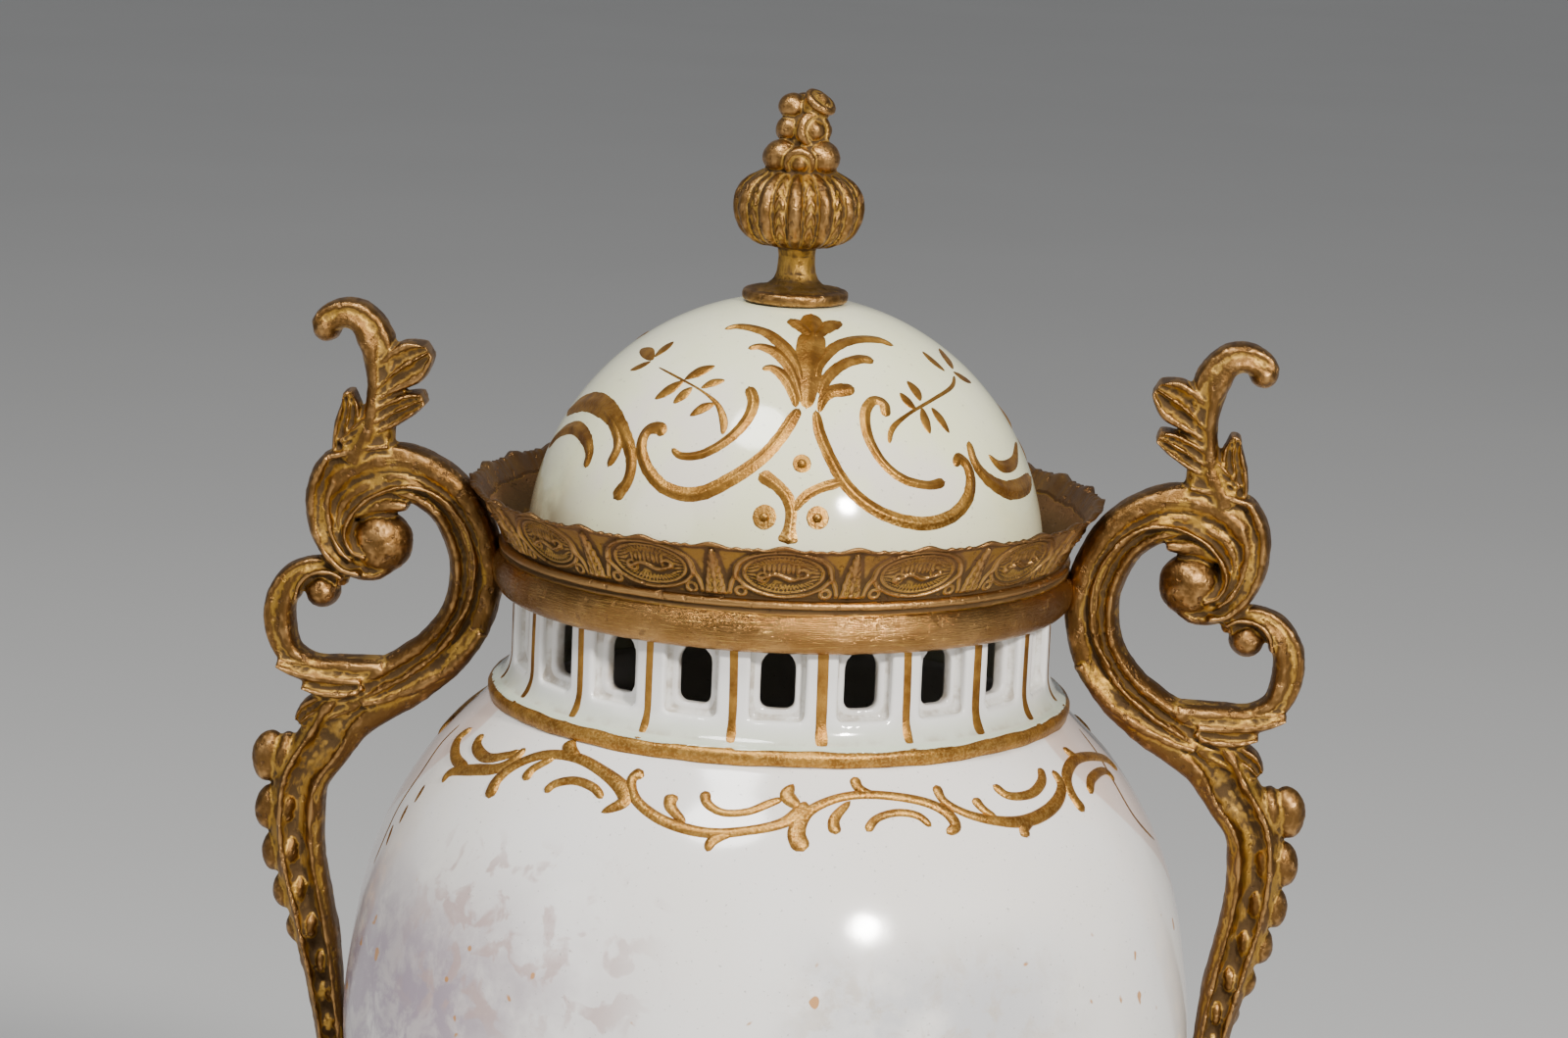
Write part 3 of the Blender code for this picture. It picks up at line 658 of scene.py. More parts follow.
# %% Lay out the handle
HALF_DEPTH = 5.5
SCROLL = [
    (24.8, 1.4, 2.4), (28.6, 0.4, 4.2), (33.2, 2.0, 5.4), (37.0, 7.0, 7.2), (36.8, 15.2, 9.2),
    (31.0, 21.0, 11.5), (21.0, 21.2, 11.8), (12.0, 15.6, 11.4), (7.2, 5.0, 11.4), (8.0, -6.5, 11.2),
    (13.2, -15.4, 11.6), (20.4, -21.6, 12.4),
]
STRAP = [
    (22.6, 0.694, 13.0), (21.6, 0.62, 12.2), (21.4, 0.536, 11.4), (18.6, 0.452, 11.2), (15.0, 0.357, 10.6),
    (11.2, 0.263, 9.8), (8.1, 0.179, 9.3), (5.7, 0.095, 8.0), (4.2, 0.0, 6.8), (3.6, -0.14, 6.2),
    (3.6, -0.29, 5.8), (5.6, -0.37, 5.0), (9.0, -0.385, 4.0),
]
HOOK = [
    (30.2, 23.0, 12.0), (28.2, 31.0, 7.4), (27.6, 38.0, 6.0), (27.8, 43.6, 6.4), (28.8, 48.8, 7.6),
    (31.6, 53.1, 6.8), (35.6, 54.2, 6.2), (39.2, 52.4, 5.8), (39.4, 50.4, 5.0),
]
SMALL_SCROLL = [
    (34.9, -2.8, 1.8), (35.0, -0.8, 3.0), (38.4, 0.9, 3.6), (42.2, 0.5, 4.2), (45.8, -2.4, 5.6),
    (47.8, -7.6, 6.6), (47.6, -12.6, 6.6), (45.8, -17.4, 5.6), (41.0, -20.4, 5.0), (34.0, -21.0, 6.0),
    (26.0, -21.4, 7.0),
]
# Beads, tongues and leaves: the section, how far each stands out to both faces, then its rows
TRIM = [
    (ROUND_SECTION, 5.6, [
        (38.0, 24.4, 2.4), (40.2, 20.0, 3.6), (40.9, 14.4, 3.8), (40.0, 8.6, 3.4), (37.6, 4.0, 2.8),
        (34.2, 1.0, 2.4), (30.6, 0.2, 2.0),
    ]),
    (ROUND_SECTION, 5.3, [
        (36.6, 19.6, 1.6), (37.7, 14.6, 2.4), (37.0, 9.4, 2.2), (35.0, 5.2, 1.8), (32.4, 2.9, 1.4),
    ]),
    (ROUND_SECTION, 5.9, [
        (29.6, 3.8, 2.4), (32.4, 5.2, 2.2), (33.9, 8.6, 2.0), (32.4, 12.9, 1.9), (28.4, 16.8, 1.8),
        (22.0, 19.2, 1.7), (15.6, 18.2, 1.7), (10.8, 14.2, 1.7), (7.6, 8.6, 1.7), (6.6, 2.0, 1.7),
        (7.8, -5.0, 1.6), (11.2, -10.6, 1.3),
    ]),
    (ROUND_SECTION, 5.0, [(38.0, 24.4, 2.0), (31.6, 26.2, 2.4), (25.4, 27.4, 1.8)]),
    (TONGUE_SECTION, 5.6, [
        (5.6, -10.2, 4.6), (10.6, -16.4, 5.8), (17.0, -21.2, 5.6), (23.6, -24.6, 4.8), (29.6, -26.8, 2.8),
    ]),
    (TONGUE_SECTION, 5.5, [(29.8, -22.0, 3.6), (36.5, -21.6, 5.0), (42.8, -20.9, 4.2), (47.9, -19.7, 2.2)]),
    (TONGUE_SECTION, 5.8, [(30.6, -24.2, 3.0), (34.5, -24.8, 3.8), (38.7, -24.7, 3.2), (42.4, -24.1, 1.6)]),
    (LEAF_SECTION, 4.9, [(31.0, -26.8, 4.0), (36.6, -28.4, 6.0), (40.6, -30.4, 6.2), (43.0, -32.6, 3.0)]),
    (ROUND_SECTION, 4.9, [
        (34.3, -1.0, 1.2), (37.0, 0.2, 1.5), (40.6, -0.2, 1.6), (43.2, -2.4, 1.6), (44.2, -6.0, 1.3),
    ]),
    (ROUND_SECTION, 4.2, [(31.8, 12.4, 2.6), (29.2, 14.2, 4.6), (25.4, 14.8, 4.8), (21.4, 14.9, 2.4)]),
    (LEAF_SECTION, 5.0, [
        (28.6, 38.6, 4.4), (25.0, 42.4, 8.6), (21.4, 45.0, 9.2), (18.8, 46.6, 6.0), (17.6, 47.4, 3.0),
    ]),
    (LEAF_SECTION, 5.3, [
        (35.2, 27.2, 2.4), (31.6, 29.8, 4.0), (26.4, 33.3, 5.8), (21.8, 35.9, 5.2), (18.4, 37.4, 2.6),
    ]),
    (LEAF_SECTION, 4.4, [(35.0, 26.0, 5.0), (34.4, 30.6, 5.4), (33.8, 34.6, 4.4), (34.4, 38.2, 2.0)]),
]
BALLS = [  # out, up, radius, half depth
    (26.8, 6.6, 6.6, 6.0), (38.9, -4.2, 3.7, 5.2), (39.2, 51.0, 3.0, 4.6), (29.8, -24.0, 1.3, 5.9),
]
SHELLS = [  # out to the shell's edge, up, half height
    (53.2, -40.4, 5.3), (52.4, -51.4, 4.9), (50.8, -60.6, 4.5), (48.3, -69.0, 4.1), (45.2, -76.6, 3.8),
    (42.2, -83.8, 3.5), (39.6, -90.6, 3.2), (37.8, -97.2, 2.8),
]

# %% [markdown]
# ### Fusing a handle
#
# The main strap is one curve from the scroll's tip to the foot of the handle. Everything else is laid over
# it and fused with it. The left handle is the right one mirrored.

# %% Fuse the handle and mirror it


def place(rows):
    """Rows of the handle's plane at their place on the vase."""
    return np.array([(COLLAR_RADIUS + out, SKIRT + up, *rest) for out, up, *rest in rows])


def place_low(rows):
    """The lower strap's rows, which follow the body's outline."""
    heights = [BELLY + (SKIRT - BELLY) * share for _, share, _ in rows]
    radii = np.interp(heights, outside[:, 1], outside[:, 0])
    return np.array([(r + off, z, size) for r, z, (off, _, size) in zip(radii, heights, rows)])


def handle_shells():
    """The closed shapes that make up the right handle."""
    scroll = curve_through(place(SCROLL), 12)
    strap = curve_through(np.vstack([scroll[-1:], place_low(STRAP)]), 12)
    main = np.vstack([scroll[:-1], strap])
    sections = [(0, START_SECTION), (0.14, START_SECTION), (0.22, SCROLL_SECTION), (0.47, SCROLL_SECTION)]
    sections += [(0.54, STRAP_SECTION), (1, STRAP_SECTION)]
    shells = [swept_shell(main, sections, HALF_DEPTH)]
    for rows, depth in ((SMALL_SCROLL, 4.9), (HOOK, 5.0)):
        line = curve_through(place(rows), 12)
        shells.append(swept_shell(line, [(0, TONGUE_SECTION), (1, TONGUE_SECTION)], depth))
    for section, depth, rows in TRIM:
        line = curve_through(place(rows), 10)
        shells.append(swept_shell(line, [(0, section), (1, section)], depth, thins=False))
    for out, up, radius, depth in BALLS:
        shells.append(ball_shell((COLLAR_RADIUS + out, 0, SKIRT + up), (radius, depth, radius)))
    for out, up, half in SHELLS:
        x, z = COLLAR_RADIUS + out, SKIRT + up
        wide = 0.62 * half + 0.5
        shells.append(ball_shell((x - wide, 0, z), (wide, 3.4, half * 1.04), lean=6))
        shells.append(ball_shell((x - 1.9 * wide, 0, z + 0.2), (wide * 0.72, 4.3, half * 0.98), lean=6))
    return shells


right_handle = fuse("handle_right_scroll", handle_shells(), 0.38)
hand_work(right_handle, 3.0, 0.2, 0.5)
read_casting(right_handle, 5)
left_mesh = right_handle.data.copy()
left_mesh.transform(Matrix.Scale(-1, 4, (1, 0, 0)))
left_mesh.flip_normals()
left_handle = add_object("handle_left_scroll", left_mesh)

# %% [markdown]
# ## The finial
#
# The lid's knob is cast in one: a disc on the porcelain, a short stem, a ribbed basket, and a pile of
# fruit and open flowers. The basket is turned, and its relief repeats twelve times round it: a fine rib,
# a groove on each side and a veined panel. Each fruit is a ball, and each flower a ball with a rim and a
# round heart, set facing outwards.

# %% Turn the stem and basket
DISC_FOOT = LID_BASE + math.sqrt(LID_RADIUS**2 - PAD_RADIUS**2) + 0.3
BASKET_FOOT = DISC_FOOT + 11.3
BASKET_TOP = BASKET_FOOT + 15.2
STEM_ROWS = [  # radius and height over the disc's underside
    (0, 0), (10.3, 0), (10.8, 0.4), (10.9, 1.1), (10.8, 1.9), (10.3, 2.3), (9.2, 2.45), (7.2, 2.7),
    (5.6, 3.4),
    (4.6, 4.4), (4.0, 5.8), (3.8, 7.4), (3.7, 9.4), (3.9, 10.6), (4.4, 11.6), (0, 13),
]
BASKET_ROWS = [  # radius and height over the basket's underside
    (3.4, -0.2), (7.6, 0.3), (10.6, 2.0), (12.3, 5.0), (12.8, 8.2), (12.2, 11.2), (10.4, 13.6), (7.4, 15.4),
]
disc_and_stem = [(radius, DISC_FOOT + up) for radius, up in STEM_ROWS]
basket_line = curve_through([(radius, BASKET_FOOT + up) for radius, up in BASKET_ROWS], 8)
basket_line = np.vstack([[0, BASKET_FOOT - 0.2], basket_line, [0, BASKET_TOP + 0.4]])
RIBS = 12


def rib_relief(azimuth, row):
    """Broad swelling panels between fine raised ribs, with a veined leaf on each panel."""
    turn = azimuth * RIBS / (2 * math.pi)
    off = abs(turn - np.round(turn))
    way = np.clip(row / (len(basket_line) - 1), 0, 1)
    strength = np.sin(way * math.pi) ** 0.4
    ridge = 0.65 * bump(off, 0.15)
    groove = -1.05 * bump(off - 0.27, 0.055)
    panel = -0.25 * step_up(off, 0.27, 0.34)
    veins = 0.22 * np.cos(way * 46 - off * 26) * step_up(off, 0.3, 0.38)
    return (ridge + groove + panel + veins) * strength, np.zeros_like(azimuth)

# %% [markdown]
# The pile goes up in four rings round a core, and each fruit and flower sinks a little into the ones
# below, so that the casting has no gaps.

# %% Pile up the fruit and flowers


def ring_shell(centre, radius, thick, azimuth, tilt):
    """A closed ring (torus) that faces outwards at an azimuth, tilted up."""
    a, b = np.meshgrid(*(np.linspace(0, 2 * math.pi, steps, endpoint=False) for steps in (32, 12)))
    reach = radius + thick * np.cos(b)
    points = np.stack([reach * np.cos(a), thick * np.sin(b), reach * np.sin(a)], -1).reshape(-1, 3)
    face = Matrix.Rotation(azimuth, 3, "Z") @ Matrix.Rotation(tilt, 3, "X")
    points = points @ np.array(face).T + np.asarray(centre)
    return points * MM, grid_faces(12, 32, wrap_rows=True)


def flower(centre, radius, azimuth, tilt):
    """An open rose: a cup, a rim and a round heart, facing out at an azimuth."""
    facing = Matrix.Rotation(azimuth, 3, "Z") @ Matrix.Rotation(tilt, 3, "X") @ Vector((0, -1, 0))
    centre, facing = np.array(centre), np.array(facing)
    return [
        ball_shell(centre, (radius * 0.86,) * 3),
        ring_shell(centre + facing * radius * 0.42, radius * 0.76, radius * 0.25, azimuth, tilt),
        ball_shell(centre + facing * radius * 0.45, (radius * 0.5,) * 3),
    ]


# What is piled up: (azimuth, reach, height over the basket, radius, tilt of an open flower or None)
PILE = [
    (-48, 4.9, 3.2, 3.8, None), (2, 5.6, 2.9, 3.3, 0.35), (52, 5.4, 3.2, 4.0, None),
    (96, 4.6, 2.6, 3.2, -0.3), (140, 5.0, 3.0, 3.4, None), (-148, 5.2, 2.8, 3.3, -0.3),
    (-100, 4.8, 2.6, 3.2, None), (34, 3.2, 8.6, 3.9, -0.1), (-54, 2.8, 8.8, 2.9, None),
    (88, 3.6, 8.4, 2.6, None), (158, 3.0, 8.8, 3.5, -0.2), (-122, 3.2, 8.0, 2.8, None),
    (-62, 2.2, 13.2, 3.0, None), (62, 3.2, 13.2, 3.6, -0.9), (172, 2.4, 13.2, 2.9, None),
]
fruit = [ball_shell((0, 0, BASKET_TOP + 6.0), (4.2, 4.2, 8.6))]
for azimuth, reach, up, radius, tilt in PILE:
    azimuth = math.radians(azimuth)
    centre = (reach * math.sin(azimuth), -reach * math.cos(azimuth), BASKET_TOP + up)
    if tilt is None:
        fruit.append(ball_shell(centre, (radius, radius, radius * 0.92)))
    else:
        fruit += flower(centre, radius, azimuth, tilt)
finial_shells = [turned_shell(disc_and_stem, 96), turned_shell(basket_line, 192, rib_relief), *fruit]
finial = fuse("gilt_finial", finial_shells, 0.26, soften=1)
hand_work(finial, 1.6, 0.09)
read_casting(finial, 5)

# %% [markdown]
# ## The foot
#
# The photograph ends above the foot, so this one is a plain guess in keeping with the collar: a turned
# bronze casting, hollow beneath, with a round moulding, a hollow curve, a bead and a cup for the body.

# %% Turn the foot


def rounded(points, radius):
    """The outline with each corner cut to two points, so that it shades as a soft edge."""
    points = np.asarray(points, float)
    out = [points[0]]
    for a, b, c in zip(points, points[1:], points[2:]):
        for towards in (a, c):
            gap = np.linalg.norm(towards - b)
            out.append(b + (towards - b) * min(radius / gap, 0.4))
    out.append(points[-1])
    return np.array(out)


torus = [(50.3 + 4.2 * math.cos(a), 10.2 + 4.2 * math.sin(a)) for a in np.radians(np.linspace(-62, 95, 14))]
cyma = curve_through([(46.0, 14.6), (35.4, 16.6), (26.0, 20.6), (21.8, 25.6), (20.6, 30.6)], 4)
bead = [(22.2 + 2.7 * math.cos(a), 35.6 + 2.6 * math.sin(a)) for a in np.radians(np.linspace(-85, 85, 12))]
cup_top = SEAT + 6.0
cup_radius = float(np.interp(cup_top, outside[:, 1], outside[:, 0]))
cup = curve_through([(22.6, 38.6), (28.4, 42.2), (33.6, 46.8), (cup_radius + 2.4, cup_top - 1.0)], 4)
foot_line = [
    (0, 42.0), (16.0, 29.0), (20.0, 16.6), (49.0, 1.0), (50.0, 0.0), (56.0, 0.0), (56.0, 6.0), (54.0, 6.3),
    *torus, (48.6, 14.6), (46.6, 14.4), *cyma, (21.0, 31.2), (21.0, 32.4), *bead, *cup,
    (cup_radius + 2.0, cup_top), (cup_radius + 0.5, cup_top), (SEAT_RADIUS + 0.3, 46.0), (0, 46.0),
]
foot_line = rounded(foot_line, 0.35)


def gadroons(azimuth, row):
    """Shallow lobes round the moulding, a plainer echo of the finial's ribs."""
    radius, height = foot_line[row.astype(int)].transpose(2, 0, 1)
    on_torus = bump(radius - 53.5, 3.2) * step_up(height, 6.6, 8.4) * (1 - step_up(height, 13.0, 14.6))
    lobes = abs(np.sin(azimuth * 24))
    return -0.8 * (1 - lobes**0.6) * on_torus, np.zeros_like(azimuth)


foot = mesh_object("gilt_foot", *turned_shell(foot_line, 384, gadroons))
read_casting(foot, 6)

# %% [markdown]
# ## Raised gilding
#
# The scrolls are painted in a thick white paste, fired, then covered with gold and rubbed. Each stroke is
# a ribbon on the porcelain: a thin film at its edges and a rounded ridge along its middle. The points of
# a stroke are read from an enlarged part of the photograph, then sent along the line of sight on to the
# lid or the body. The half that can't be seen carries the same drawing, turned half round.

# %% Draw strokes on the porcelain
bpy.context.view_layer.update()
DEPTHS = bpy.context.evaluated_depsgraph_get()
LID_SURFACE = BVHTree.FromObject(lid, DEPTHS)
BODY_SURFACE = BVHTree.FromObject(body, DEPTHS)


def on_surface(surface, view, x, y):
    """The point and normal of the porcelain under a point of an enlarged view (left, top, scale)."""
    left, top, scale = view
    eye, direction = line_of_sight(left + x / scale, top + y / scale)
    point, normal, _, _ = surface.ray_cast(eye, direction)
    return (point, normal) if point else None


FILM_AND_RIDGE = [
    (-1, 0.0), (-0.82, 0.2), (-0.5, 0.3), (-0.26, 0.75), (0, 1.0), (0.26, 0.75), (0.5, 0.3), (0.82, 0.2),
    (1, 0.0),
]
ROUND_STROKE = [(-1, 0.0), (-0.86, 0.42), (-0.55, 0.82), (0, 1.0), (0.55, 0.82), (0.86, 0.42), (1, 0.0)]


SINK = 0.06  # how far a stroke's edges lie under the glaze, in millimetres


def ribbon(spots, widths, height, section):
    """One stroke: points in metres and quads, from (point, normal) spots and widths in millimetres."""
    centres = [point for point, _ in spots]
    rows = []
    for i, (point, normal) in enumerate(spots):
        along = centres[min(i + 1, len(spots) - 1)] - centres[max(i - 1, 0)]
        across = along.cross(normal).normalized()
        end = min(i, len(spots) - 1 - i) / 3
        narrow = math.sqrt(1 - (1 - min(end, 1)) ** 2) if end < 1 else 1.0
        half = widths[i] / 2 * max(narrow, 0.05)
        low = min(1.0, 0.35 + widths[i] / 3.5) * max(narrow, 0.1)
        for u, h in section:
            rows.append(point + across * (u * half * MM) + normal * ((h * height * low - SINK) * MM))
    points = np.array(rows).reshape(-1, 3)
    n = len(section)
    index = np.arange(len(points)).reshape(-1, n)
    quads = np.stack([index[:-1, :-1], index[:-1, 1:], index[1:, 1:], index[1:, :-1]], -1).reshape(-1, 4)
    return points, quads


def stroke(surface, view, rows, height, section, broad=1.0):
    """A stroke through (x, y, width) rows of an enlarged view; None where it leaves the surface."""
    line = curve_through(rows, 7)
    spots, widths = [], []
    for x, y, width in line:
        spot = on_surface(surface, view, x, y)
        if spot is None:
            continue
        distance = (spot[0] - camera.matrix_world.translation).length / MM
        slant = max(abs(spot[1].dot((camera.matrix_world.translation - spot[0]).normalized())), 0.45)
        spots.append(spot)
        widths.append(broad * width / view[2] * distance / FOCAL_PIXELS / slant**0.5)
    return ribbon(spots, widths, height, section) if len(spots) > 4 else None


def half_round(shells):
    """The same strokes on the far side."""
    return [*shells, *[(points * (-1, -1, 1), quads) for points, quads in shells]]

# %% [markdown]
# ### The lid's drawing
#
# A trefoil stands at the top of the front. From its stem two big scrolls swing out, with fronds above
# them, leafy sprigs in their hollows, side scrolls, a small Y below and three dots.

# %% Strokes of the lid
LID_VIEW = (530, 300, 2.8)  # left, top and scale of the enlarged view
LID_STROKES = {
    "trefoil": [
        [(833, 56, 20), (835, 80, 34), (838, 110, 34), (838, 130, 30)],
        [(770, 72, 16), (792, 84, 26), (820, 104, 26), (834, 124, 20)],
        [(920, 80, 16), (892, 88, 28), (862, 104, 28), (842, 126, 20)],
        [(838, 105, 40), (832, 160, 50), (828, 210, 50), (825, 262, 42), (820, 330, 26)],
    ],
    "left fronds": [
        [(585, 100, 12), (630, 92, 18), (700, 108, 22), (752, 146, 26), (790, 196, 26), (806, 250, 18)],
        [(652, 156, 14), (690, 150, 20), (738, 170, 26), (776, 214, 26), (796, 270, 20), (806, 312, 12)],
        [(692, 214, 14), (724, 212, 20), (760, 240, 26), (784, 286, 24), (790, 326, 12)],
    ],
    "right fronds": [
        [(1070, 148, 14), (1020, 130, 20), (950, 132, 22), (896, 156, 24), (858, 200, 22), (846, 240, 14)],
        [(1014, 190, 22), (970, 186, 24), (920, 204, 24), (880, 240, 24), (856, 290, 16)],
        [(958, 268, 22), (925, 274, 34), (890, 280, 30), (868, 302, 22), (856, 340, 12)],
    ],
    "left scroll": [
        [(800, 326, 18), (778, 360, 28), (745, 410, 30), (690, 470, 32), (600, 532, 34), (505, 572, 34),
         (420, 556, 30), (366, 500, 28), (348, 436, 26), (366, 390, 26), (400, 384, 28), (412, 404, 22)],
        [(655, 262, 24), (668, 310, 26), (645, 366, 26), (590, 420, 24), (520, 458, 22), (462, 462, 18),
         (434, 440, 12)],
    ],
    "right scroll": [
        [(846, 330, 18), (858, 394, 26), (888, 468, 28), (934, 546, 30), (1000, 606, 30), (1076, 642, 30),
         (1160, 656, 30), (1236, 634, 28), (1284, 576, 28), (1286, 506, 26), (1258, 470, 24),
         (1242, 492, 16)],
        [(1046, 352, 22), (1042, 316, 24), (1012, 304, 22), (988, 340, 24), (998, 410, 24), (1038, 480, 22),
         (1096, 528, 22), (1166, 546, 20), (1218, 536, 24)],
    ],
    "left side": [
        [(74, 456, 10), (108, 376, 20), (158, 322, 32), (214, 308, 36), (262, 342, 34), (300, 402, 30),
         (320, 470, 28), (308, 536, 28), (268, 586, 34)],
        [(236, 322, 16), (270, 370, 24), (282, 430, 24), (252, 496, 22)],
        [(82, 442, 10), (118, 396, 20), (158, 382, 24), (188, 408, 24), (200, 452, 22), (188, 498, 20)],
    ],
    "right side": [
        [(1284, 418, 18), (1300, 478, 24), (1340, 530, 28), (1398, 560, 30), (1450, 542, 30),
         (1470, 484, 22), (1452, 420, 12)],
        [(1338, 458, 10), (1376, 492, 20), (1414, 478, 20), (1420, 420, 10)],
    ],
    "lower Y": [
        [(766, 716, 56), (772, 670, 30), (776, 620, 28), (764, 580, 30), (732, 544, 30), (684, 512, 38)],
        [(784, 622, 16), (808, 586, 24), (850, 558, 24), (926, 534, 26)],
    ],
}

# %% [markdown]
# The sprigs are painted more thinly than the scrolls. Each dot is a low round pad with a small knob in its
# middle.

# %% Sprigs and dots of the lid
LID_SPRIGS = {
    "left stem": [[
        (580, 404, 12), (584, 366, 22), (566, 316, 14), (520, 276, 7), (456, 240, 7), (392, 206, 5),
    ]],
    "left leaves": [
        [(562, 312, 10), (524, 326, 28), (484, 350, 10)],
        [(590, 246, 10), (552, 254, 24), (516, 270, 8)],
        [(496, 264, 8), (470, 286, 28), (438, 314, 12)],
        [(474, 244, 8), (430, 272, 30), (384, 302, 12)],
        [(562, 204, 10), (514, 222, 30), (468, 246, 8)],
        [(442, 134, 10), (414, 156, 24), (384, 182, 8)],
        [(346, 156, 12), (366, 168, 26), (382, 190, 10)],
        [(378, 192, 8), (346, 206, 18), (314, 218, 8)],
    ],
    "right stem": [[
        (1056, 430, 12), (1066, 384, 16), (1110, 344, 10), (1180, 302, 9), (1234, 266, 9), (1244, 232, 8),
    ]],
    "right leaves": [
        [(1106, 246, 10), (1132, 276, 26), (1146, 308, 10)],
        [(1086, 280, 10), (1108, 306, 24), (1136, 334, 10)],
        [(1150, 322, 10), (1160, 362, 26), (1174, 402, 10)],
        [(1176, 322, 10), (1202, 356, 24), (1230, 400, 10)],
        [(1200, 154, 10), (1220, 184, 26), (1238, 216, 10)],
        [(1150, 162, 10), (1182, 192, 22), (1218, 222, 10)],
        [(1238, 222, 8), (1264, 238, 22), (1292, 252, 10)],
    ],
}
LID_DOTS = [(807, 485, 28), (700, 637, 36), (852, 640, 34)]  # x, y and radius in the view
DOT_KNOB = 0.95  # radius of the knob in a dot's middle, in millimetres

lid_shells = []
for strokes in LID_STROKES.values():
    lid_shells += [stroke(LID_SURFACE, LID_VIEW, rows, 0.5, FILM_AND_RIDGE, 1.35) for rows in strokes]
for strokes in LID_SPRIGS.values():
    lid_shells += [stroke(LID_SURFACE, LID_VIEW, rows, 0.22, ROUND_STROKE, 1.15) for rows in strokes]
for x, y, size in LID_DOTS:
    rows = [(x + size * t, y, 2 * size * math.sqrt(1 - t * t) + 2) for t in np.linspace(-1, 1, 11)]
    lid_shells.append(stroke(LID_SURFACE, LID_VIEW, rows, 0.14, ROUND_STROKE))
    point, normal = on_surface(LID_SURFACE, LID_VIEW, x, y)
    lid_shells.append(ball_shell((point + normal * 0.1 * MM) / MM, (DOT_KNOB,) * 3))
lid_shells = half_round([shell for shell in lid_shells if shell is not None])
lid_gilding = mesh_object("lid_gilding", *join_shells(lid_shells))
report(lid_gilding)

# %% [markdown]
# ### The shoulder's drawing
#
# Five curling branches hang below the gilt ring like a garland. At each side a gilt line runs down from
# the ring and marks off a pink ground behind the handle.

# %% Strokes of the shoulder
BODY_VIEW = (420, 720, 1.96)  # left, top and scale of the enlarged view
BRANCHES = [
    [(60, 154, 8), (82, 132, 12), (124, 128, 16), (170, 126, 16), (206, 108, 14), (228, 84, 10)],
    [(122, 44, 10), (92, 70, 14), (88, 104, 14), (112, 128, 12)],
    [(142, 56, 12), (130, 82, 14), (150, 104, 14), (190, 100, 12), (218, 90, 8)],
    [(154, 186, 22), (172, 148, 18), (214, 116, 15), (270, 98, 15), (330, 104, 16), (380, 130, 18),
     (420, 164, 24), (424, 192, 22), (378, 214, 10)],
    [(314, 70, 22), (318, 90, 20), (336, 106, 12)],
    [(224, 150, 18), (244, 126, 14), (288, 104, 10)],
    [(266, 174, 14), (288, 156, 14), (328, 150, 14), (364, 164, 14), (382, 186, 12)],
    [(464, 130, 24), (440, 150, 16), (452, 192, 16), (508, 232, 18), (590, 254, 18), (670, 250, 16),
     (738, 236, 18), (776, 212, 22), (790, 192, 12)],
    [(764, 156, 8), (752, 180, 24), (776, 204, 16)],
    [(522, 176, 24), (518, 202, 18), (548, 236, 12)],
    [(586, 170, 18), (592, 196, 15), (624, 214, 13), (672, 212, 13), (714, 196, 14), (742, 186, 10)],
    [(590, 292, 12), (604, 268, 18), (650, 252, 10)],
    [(784, 292, 30), (770, 254, 28), (792, 214, 18), (842, 188, 15), (900, 178, 15), (970, 182, 15),
     (1030, 194, 16), (1070, 214, 18), (1088, 240, 18), (1070, 256, 12)],
    [(884, 142, 18), (896, 166, 16), (934, 182, 10)],
    [(848, 258, 22), (846, 226, 17), (878, 190, 10)],
    [(910, 252, 16), (930, 226, 13), (970, 214, 13), (1012, 220, 13), (1040, 242, 12)],
    [(1048, 158, 18), (1064, 190, 14), (1110, 216, 14), (1170, 230, 16), (1230, 230, 18), (1280, 204, 17),
     (1300, 166, 14), (1282, 128, 12)],
    [(1124, 184, 18), (1142, 206, 14), (1172, 226, 10)],
    [(1162, 158, 16), (1194, 180, 13), (1238, 176, 13), (1260, 152, 13), (1258, 124, 12)],
    [(1230, 264, 18), (1226, 244, 16), (1252, 218, 10)],
    [(1346, 212, 18), (1322, 180, 15), (1310, 140, 15), (1330, 106, 13), (1380, 104, 12), (1412, 130, 8)],
    [(1356, 176, 12), (1360, 146, 12), (1384, 130, 10), (1406, 150, 8)],
    [(1302, 84, 8), (1316, 96, 12), (1334, 108, 10)],
]
SIDE_LINES = [
    [(1330, 40, 8), (1372, 96, 9), (1408, 158, 9), (1450, 228, 9), (1512, 296, 8)],
    [(100, 34, 8), (60, 74, 9), (20, 132, 9), (-30, 210, 9), (-82, 330, 8)],
]
SIDE_DASHES = [
    [(28, 156, 8), (16, 176, 12), (4, 196, 6)],
    [(-6, 196, 8), (-16, 216, 12), (-26, 238, 6)],
    [(-36, 236, 8), (-44, 258, 12), (-52, 282, 6)],
]
body_shells = [stroke(BODY_SURFACE, BODY_VIEW, rows, 0.7, ROUND_STROKE, 1.3) for rows in BRANCHES]
for rows in [*SIDE_LINES, *SIDE_DASHES]:
    body_shells.append(stroke(BODY_SURFACE, BODY_VIEW, rows, 0.16, ROUND_STROKE))
body_shells = half_round([shell for shell in body_shells if shell is not None])
body_gilding = mesh_object("shoulder_gilding", *join_shells(body_shells))
report(body_gilding)

# %% [markdown]
# ### The neck's stripes and ring
#
# A gilt ring covers the step below the neck, and a stripe runs up between each pair of windows. The
# stripes were drawn by hand, so each one leans and widens a little on its own.

